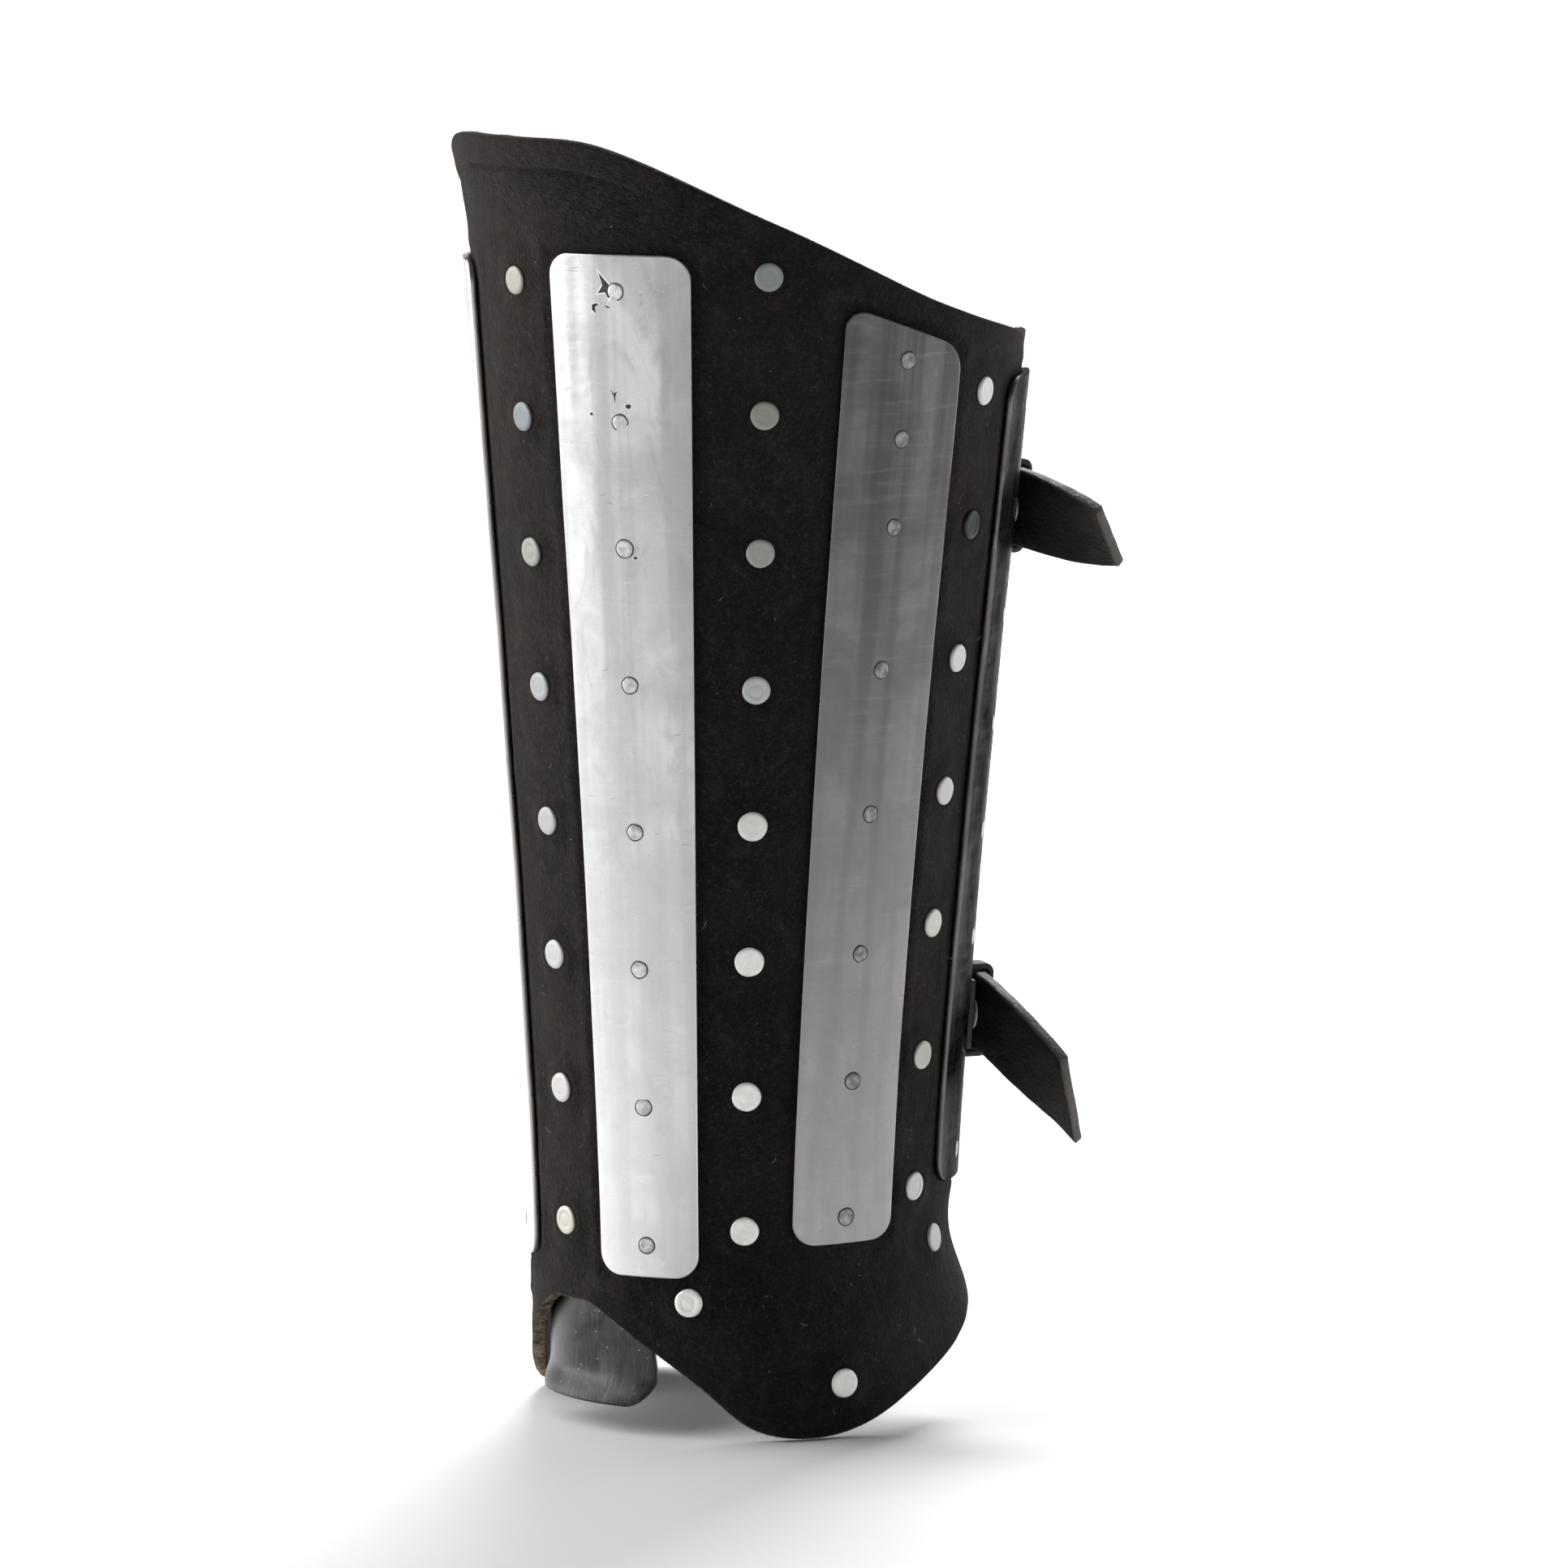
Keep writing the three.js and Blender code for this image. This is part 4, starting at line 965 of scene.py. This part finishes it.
def rounded(length, width, radius, steps):
    """Outline of a rounded rectangle about its middle."""
    outline = []
    for quarter, (x, y) in enumerate(((1, 1), (-1, 1), (-1, -1), (1, -1))):
        for i in range(steps + 1):
            angle = math.pi / 2 * (quarter + i / steps)
            outline.append((x * (length / 2 - radius) + radius * math.cos(angle),
                            y * (width / 2 - radius) + radius * math.sin(angle)))
    return outline


def stepped(outline, steps):
    """An outline with each long edge divided into steps."""
    path = []
    for (x, y), (nx, ny) in zip(outline, outline[1:] + outline[:1]):
        count = steps if math.hypot(nx - x, ny - y) > 0.003 else 1
        path += [(x + (nx - x) * k / count, y + (ny - y) * k / count) for k in range(count)]
    return path


def oval(radius, flatness, sides):
    """Section of a rod that is thinner one way."""
    angles = [2 * math.pi * k / sides for k in range(sides)]
    return [(math.cos(a) * radius, math.sin(a) * radius * flatness) for a in angles]


def sweep(name, path, section, closed, axes):
    """Carries a section of (side, normal) pairs along a path. axes gives both directions
    for the path's own; an open rod tapers over its last fifth."""
    points, faces = [], []
    last, around = len(path) - 1, len(section)
    for i, centre in enumerate(path):
        before, after = i - 1, (i + 1) % len(path)
        if not closed:
            before, after = max(before, 0), min(i + 1, last)
        side, normal = axes((path[after] - path[before]).normalized())
        size = 1 if closed else 1 - 0.35 * float(ease(i / last, 0.8, 1))
        points += [centre + side * x * size + normal * y * size for x, y in section]
        if closed or i < last:
            a, b = i * around, (i + 1) % len(path) * around
            faces += [(a + j, a + (j + 1) % around, b + (j + 1) % around, b + j)
                      for j in range(around)]
    if not closed:
        faces += [tuple(range(around))[::-1], tuple(range(last * around, (last + 1) * around))]
    return add_piece(name, points, faces)


buckle_steel = Finish("satin_buckle_steel")
rubbed = buckle_steel.grain(0.004, 5, 0.65, 0.5)
colour = buckle_steel.shade(rubbed, 0.35, 0.7, (0.40, 0.40, 0.39), (0.62, 0.62, 0.605))
buckle_steel.set(Base_Color=colour, Metallic=1.0,
                 Roughness=buckle_steel.spread(rubbed, 0.3, 0.7, 0.28, 0.45))
buckle_steel.relief((rubbed, 0.00015), (buckle_steel.grain(0.0006), 0.00004))


def lengths_along(points):
    """How far along a line each of its points is."""
    return np.concatenate([[0], np.cumsum(np.linalg.norm(np.diff(points, axis=0), axis=1))])


for name, strap in STRAPS.items():
    lift = strap["at"] * HEIGHT
    half = float(half_width(lift))
    edge = math.radians(180 - BACK_TURN * float(turn_share(lift))) * half

    def on_strap(along, across, out):
        return Vector(at_angle(180 - math.degrees(along / half), lift + across, out))

    def strap_seat(along, out):
        turn = (180 - math.degrees(along / half)) / float(turn_share(lift))
        return seat_on_wrap(turn, lift, out)

    bar = edge - EDGE_TO_BUCKLE_BAR
    far_bar = bar - BUCKLE_REACH
    eye_hole = BUCKLE_BAR * math.sqrt(0.5) / math.cos(math.pi / 8) + CLEARANCE
    eye_radius = eye_hole + CHAPE_THICKNESS / 2
    keeper = bar + eye_radius + KEEPER_EASE + KEEPER_WIDTH / 2
    tail_start = keeper + KEEPER_WIDTH / 2
    bar_out = CLEARANCE + eye_radius
    far_bar_out = 2 * CLEARANCE + STRAP_THICKNESS + BUCKLE_BAR / 2
    over_eye = 2 * CLEARANCE + 2 * eye_radius
    over_rivet = 3 * CLEARANCE + CHAPE_THICKNESS + DISC_HEIGHT
    anchor_end = -edge - EDGE_TO_STRAP_END

    # The strap's line: along the leather, under the far bar and up over the chape
    stations = []
    for i in range(91):
        along = anchor_end + (tail_start - anchor_end) * i / 90
        rise = ease(along, far_bar + BUCKLE_BAR, bar - eye_radius / 2)
        fall = ease(along, bar + eye_radius / 2, keeper - KEEPER_WIDTH / 2 - CLEARANCE)
        out = CLEARANCE + (over_eye - CLEARANCE) * rise
        out = float(out + (over_rivet - out) * fall)
        middle = on_strap(along, 0, out)
        down = (on_strap(along, -0.001, out) - middle).normalized()
        outward = (on_strap(along, 0, out + 0.001) - middle).normalized()
        stations.append((middle, down, outward))
    heading = stations[-1][0] - stations[-2][0]
    heading = Vector((heading.x, heading.y, 0)).normalized()
    away = Vector((stations[-1][2].x, stations[-1][2].y, 0)).normalized()
    middle = stations[-1][0]
    tail_steps = 30
    for i in range(1, tail_steps + 1):
        share = (i - 0.5) / tail_steps
        out = math.radians(strap["turn_out"] * share * 2)
        droop = math.radians(strap["droop"] * share * (2 - share))
        way = heading * math.cos(out) * math.cos(droop) + away * math.sin(out) * math.cos(droop)
        way = (way - Vector((0, 0, math.sin(droop)))).normalized()
        down = Vector((0, 0, -1))
        down = (down - way * down.dot(way)).normalized()
        down = Matrix.Rotation(math.radians(strap["roll"] * share * share), 3, way) @ down
        middle = middle + way * STRAP_WIDTH * strap["tail"] / tail_steps
        stations.append((middle, down, way.cross(down).normalized()))
    strap_length = sum((b[0] - a[0]).length for a, b in zip(stations, stations[1:]))
    last = stations[-1]
    onward = (last[0] - stations[-2][0]).normalized()
    stations.append((last[0] + onward * STRAP_WIDTH / 2, *last[1:]))
    middles, downs, outwards = (np.array([list(row[i]) for row in stations]) for i in range(3))
    travelled = lengths_along(middles)
    strap_notes = []

    def place_on_strap(share, width, inset, out):
        slant = STRAP_WIDTH * strap["cut"] * (width - 0.5) * np.clip((share - 0.9) / 0.1, 0, 1)
        at = inset + share * (strap_length - 2 * inset) + slant
        half_span = STRAP_WIDTH / 2 - inset
        across = (2 * width - 1) * half_span
        worn = 0.00022 * swells(at, across, 0.011, 60) + 0.00012 * swells(at, across, 0.004, 61)
        frame_at = [np.stack([np.interp(at, travelled, column[:, i]) for i in range(3)], -1)
                    for column in (middles, downs, outwards)]
        strap_notes.append(np.minimum(half_span + inset - np.abs(across),
                                      np.minimum(at, strap_length + slant - at)))
        return frame_at[0] + frame_at[1] * across[:, None] + frame_at[2] * (out + worn)[:, None]

    band = thick_sheet(f"{name}_strap_leather", place_on_strap, 170, 20,
                       softened(0, STRAP_THICKNESS, 0.0007, 0.15))
    note_points(band, "to_edge", np.concatenate(strap_notes))
    dress(band, [strap_leather], f"strap_{name}")
    slot = [(bar - 0.010 + x, y) for x, y in rounded(0.012, 0.0042, 0.002, 4)]
    cut_away(band, punch(slot, on_strap, -0.004, 0.022))

    # Chape: a short strip folded round the buckle's bar, its two layers riveted together
    layer = CHAPE_THICKNESS / 2 - 0.0001
    low_line = CLEARANCE + layer / 2
    high_line = CLEARANCE + CHAPE_THICKNESS - layer / 2
    chape_end = edge + EDGE_TO_STRAP_END
    notch = KEEPER_WIDTH / 2 + CLEARANCE
    turn_radius = eye_hole + layer / 2
    line = [(keeper - notch, low_line), (bar + turn_radius, low_line)]
    start = -math.pi / 2 + 0.15
    for i in range(25):
        angle = start - (2 * math.pi - 1.5) * i / 24
        line.append((bar + turn_radius * math.cos(angle), bar_out + turn_radius * math.sin(angle)))
    line += [(bar + eye_radius + 0.001, high_line), (keeper - notch, high_line)]
    line += [(keeper + notch * i / 3, high_line) for i in range(-2, 4)] + [(chape_end, high_line)]
    end_line = [(along, low_line) for along in
                (keeper + notch, (keeper + notch + chape_end) / 2, chape_end)]
    for part, flap, columns in (("fold", line, 70), ("end", end_line, 10)):
        places = np.array(flap)
        lengths = lengths_along(places)
        chape_notes = []

        def place_on_chape(share, width, inset, out):
            at = inset + share * (lengths[-1] - 2 * inset)
            along, height = (np.interp(at, lengths, places[:, i]) for i in range(2))
            ahead, above = (np.interp(at + 0.0004, lengths, places[:, i]) for i in range(2))
            behind, below = (np.interp(at - 0.0004, lengths, places[:, i]) for i in range(2))
            way = np.stack([ahead - behind, above - below], -1)
            way = way / np.maximum(np.linalg.norm(way, axis=1), 1e-9)[:, None]
            across = (2 * width - 1) * (CHAPE_WIDTH / 2 - inset)
            chape_notes.append(np.minimum(CHAPE_WIDTH / 2 - np.abs(across),
                                          np.minimum(at, lengths[-1] - at)))
            x = along + way[:, 1] * out
            z = height - way[:, 0] * out
            return np.array([on_strap(a, b, c) for a, b, c in zip(x, across, z)])

        soft = 0.0004
        flap_piece = thick_sheet(
            f"{name}_chape_{part}", place_on_chape, columns, 14,
            [(soft, layer / 2), (0, layer / 2 - soft), (0, soft - layer / 2), (soft, -layer / 2)])
        note_points(flap_piece, "to_edge", np.concatenate(chape_notes))
        if part == "end":
            dress(flap_piece, [strap_leather])
            continue
        dress(flap_piece, [strap_leather], f"chape_{name}")
        outline = rounded(2 * eye_radius, 0.0042, 0.0018, 4)
        gap = [(bar - 0.5 * eye_radius + x, y) for x, y in outline]
        cut_away(flap_piece, punch(gap, on_strap, -0.003, 0.014))

    # Buckle: a plain steel frame and the prong that turns on its near bar
    near, far = on_strap(bar, 0, bar_out), on_strap(far_bar, 0, far_bar_out)
    lengthwise = (near - far).normalized()
    upward = on_strap(bar, 0.001, bar_out) - near
    upward = (upward - lengthwise * upward.dot(lengthwise)).normalized()
    outward = lengthwise.cross(upward)
    centre = (near + far) / 2
    outline = rounded((near - far).length, BUCKLE_WIDTH - BUCKLE_BAR, 0.0045, 8)
    path = [centre + lengthwise * x + upward * y for x, y in stepped(outline, 8)]
    buckle = sweep(f"{name}_buckle_steel", path, oval(BUCKLE_BAR / 2, 0.9, 14), True,
                   lambda way: (way.cross(outward).normalized(), outward))
    dress(buckle, [buckle_steel], f"buckle_frame_{name}")

    curl = BUCKLE_BAR / 2 + 0.0001 + PRONG_RADIUS * 0.8
    places = []
    for i in range(19):
        angle = math.radians(510 - 330 * i / 18)
        places.append((bar + curl * math.cos(angle), bar_out + curl * math.sin(angle)))
    rest = far_bar_out + BUCKLE_BAR / 2 + 2 * CLEARANCE + PRONG_RADIUS
    start, end = places[-1], (far_bar - 0.75 * BUCKLE_BAR, rest)
    for i in range(1, 25):
        t = i / 24
        along = start[0] + (end[0] - start[0]) * t
        height = start[1] + (end[1] - start[1]) * t + 0.0016 * math.sin(math.pi * t) * (1 - 0.3 * t)
        places.append((along, height))
    path = [on_strap(along, 0, height) for along, height in places]
    across_strap = (on_strap(bar, 0.001, bar_out) - on_strap(bar, 0, bar_out)).normalized()

    def prong_axes(way):
        side = (across_strap - way * across_strap.dot(way)).normalized()
        return side, way.cross(side).normalized()

    prong = sweep(f"{name}_prong_steel", path, oval(PRONG_RADIUS, 0.8, 12), False, prong_axes)
    dress(prong, [buckle_steel], f"buckle_prong_{name}")

    # Keeper: a leather loop round the chape and the strap beside the buckle
    keeper_top = over_rivet + STRAP_THICKNESS + 2 * CLEARANCE + KEEPER_THICKNESS
    keeper_width = STRAP_WIDTH + 2 * (2 * CLEARANCE + KEEPER_THICKNESS)
    keeper_height = keeper_top - CLEARANCE
    outline = rounded(keeper_width - KEEPER_THICKNESS, keeper_height - KEEPER_THICKNESS, 0.0022, 6)
    middle_out = (keeper_top + CLEARANCE) / 2
    path = [on_strap(keeper, y, middle_out + z) for y, z in stepped(outline, 6)]
    along_strap = on_strap(keeper + 0.001, 0, middle_out) - on_strap(keeper, 0, middle_out)
    along_strap = along_strap.normalized()
    section = rounded(KEEPER_WIDTH, KEEPER_THICKNESS, 0.0006, 3)
    band = sweep(f"{name}_keeper_leather", path, section, True,
                 lambda way: (along_strap, way.cross(along_strap).normalized()))
    at_side = [0.0005 if abs(x) > 0.4 * KEEPER_WIDTH else 0.004 for x, _ in section]
    note_points(band, "to_edge", at_side * len(path))
    dress(band, [strap_leather], f"keeper_{name}")

    # Painted shade: the strap and chape rivets get add_disc's even dimming.
    for held, end, thickness in (("strap", -1, STRAP_THICKNESS), ("chape", 1, CHAPE_THICKNESS)):
        seat = strap_seat(end * (edge + EDGE_TO_STRAP_RIVET), thickness + 2 * CLEARANCE)
        add_disc(f"{name}_{held}_disc", seat, thickness + 3 * CLEARANCE + LEATHER,
                 f"rivet_{held}_{name}")


# Floor, light and camera: a plain pale floor just under the lobes, a broad soft light
# from the front and a dimmer room on the inner side.

FLOOR_DROP = 0.0006
FLOOR_REACH = 150
CAMERA_TURN = 52.33
CAMERA_RISE = 7.62
CAMERA_DISTANCE = 2.9
AIM = Vector((0.008, 0.010, 0.1346))

mesh = bpy.data.meshes.new("studio_floor")
corners = ((-1, -1), (1, -1), (1, 1), (-1, 1))
floor_height = -ORIGIN_LIFT - FLOOR_DROP
mesh.from_pydata([(x * FLOOR_REACH, y * FLOOR_REACH, floor_height) for x, y in corners], [],
                 [(0, 1, 2, 3)])
floor = bpy.data.objects.new("studio_floor", mesh)
bpy.context.scene.collection.objects.link(floor)
pale_floor = Finish("pale_floor")
far_off = pale_floor.add("VectorMath", "Value", {0: pale_floor.where}, operation="LENGTH")
colour = pale_floor.blend(pale_floor.grain(0.8, 3, 0.5), (0.80, 0.80, 0.80), (0.84, 0.84, 0.835))
pale_floor.set(Base_Color=colour, Roughness=0.9, Specular_IOR_Level=0.2,
               Emission_Color=(1, 1, 1, 1),
               Emission_Strength=pale_floor.spread(far_off, 0.9, 3.4, 0, 1.0))
floor.data.materials.append(pale_floor.material)


def stand_off(thing, turn, rise, distance, aim):
    """Puts a light or a camera off a point, at a turn and a rise in degrees, and aims it there."""
    bpy.context.scene.collection.objects.link(thing)
    a, e = math.radians(turn), math.radians(rise)
    back = Vector((math.sin(a) * math.cos(e), -math.cos(a) * math.cos(e), math.sin(e)))
    thing.location = aim + back * distance
    thing.rotation_euler = back.to_track_quat("Z", "Y").to_euler()


def soft_light(name, turn, rise, distance, width, height, power, spread=180, aim=AIM):
    """Broad soft light that shines at a point."""
    lamp = bpy.data.lights.new(name, "AREA")
    lamp.shape, lamp.size, lamp.size_y = "RECTANGLE", width, height
    lamp.energy, lamp.spread = power, math.radians(spread)
    stand_off(bpy.data.objects.new(name, lamp), turn, rise, distance, aim)


soft_light("shin_light", -44, 17, 2.6, 3.2, 2.8, 100)
soft_light("overhead_light", -75, 64, 2.6, 2.4, 2.4, 30)
soft_light("background_light", 215, 58, 2.8, 1.6, 1.6, 60, 90, Vector((-0.9, 0.8, 0)))
soft_light("heel_light", 178, 12, 2.2, 0.8, 1.4, 9)

world = bpy.data.worlds.new("studio")
bpy.context.scene.world = world
world.use_nodes = True
room = world.node_tree.nodes
direction = room.new("ShaderNodeTexCoord").outputs["Generated"]
upward = room.new("ShaderNodeSeparateXYZ")
above_floor = room.new("ShaderNodeMapRange")
for socket, number in (("From Min", 0.04), ("From Max", 0.16), ("To Min", 1.0), ("To Max", 0.14)):
    above_floor.inputs[socket].default_value = number
world.node_tree.links.new(direction, upward.inputs["Vector"])
world.node_tree.links.new(upward.outputs["Z"], above_floor.inputs["Value"])
world.node_tree.links.new(above_floor.outputs["Result"], room["Background"].inputs["Strength"])
room["Background"].inputs["Color"].default_value = (1, 1, 1, 1)

lens = bpy.data.cameras.new("camera")
lens.sensor_width = 36
lens.lens = 220
lens.clip_start, lens.clip_end = 0.1, 400
camera = bpy.data.objects.new("camera", lens)
stand_off(camera, CAMERA_TURN, CAMERA_RISE, CAMERA_DISTANCE, AIM)
bpy.context.scene.camera = camera
bpy.context.scene.view_settings.view_transform = "Standard"
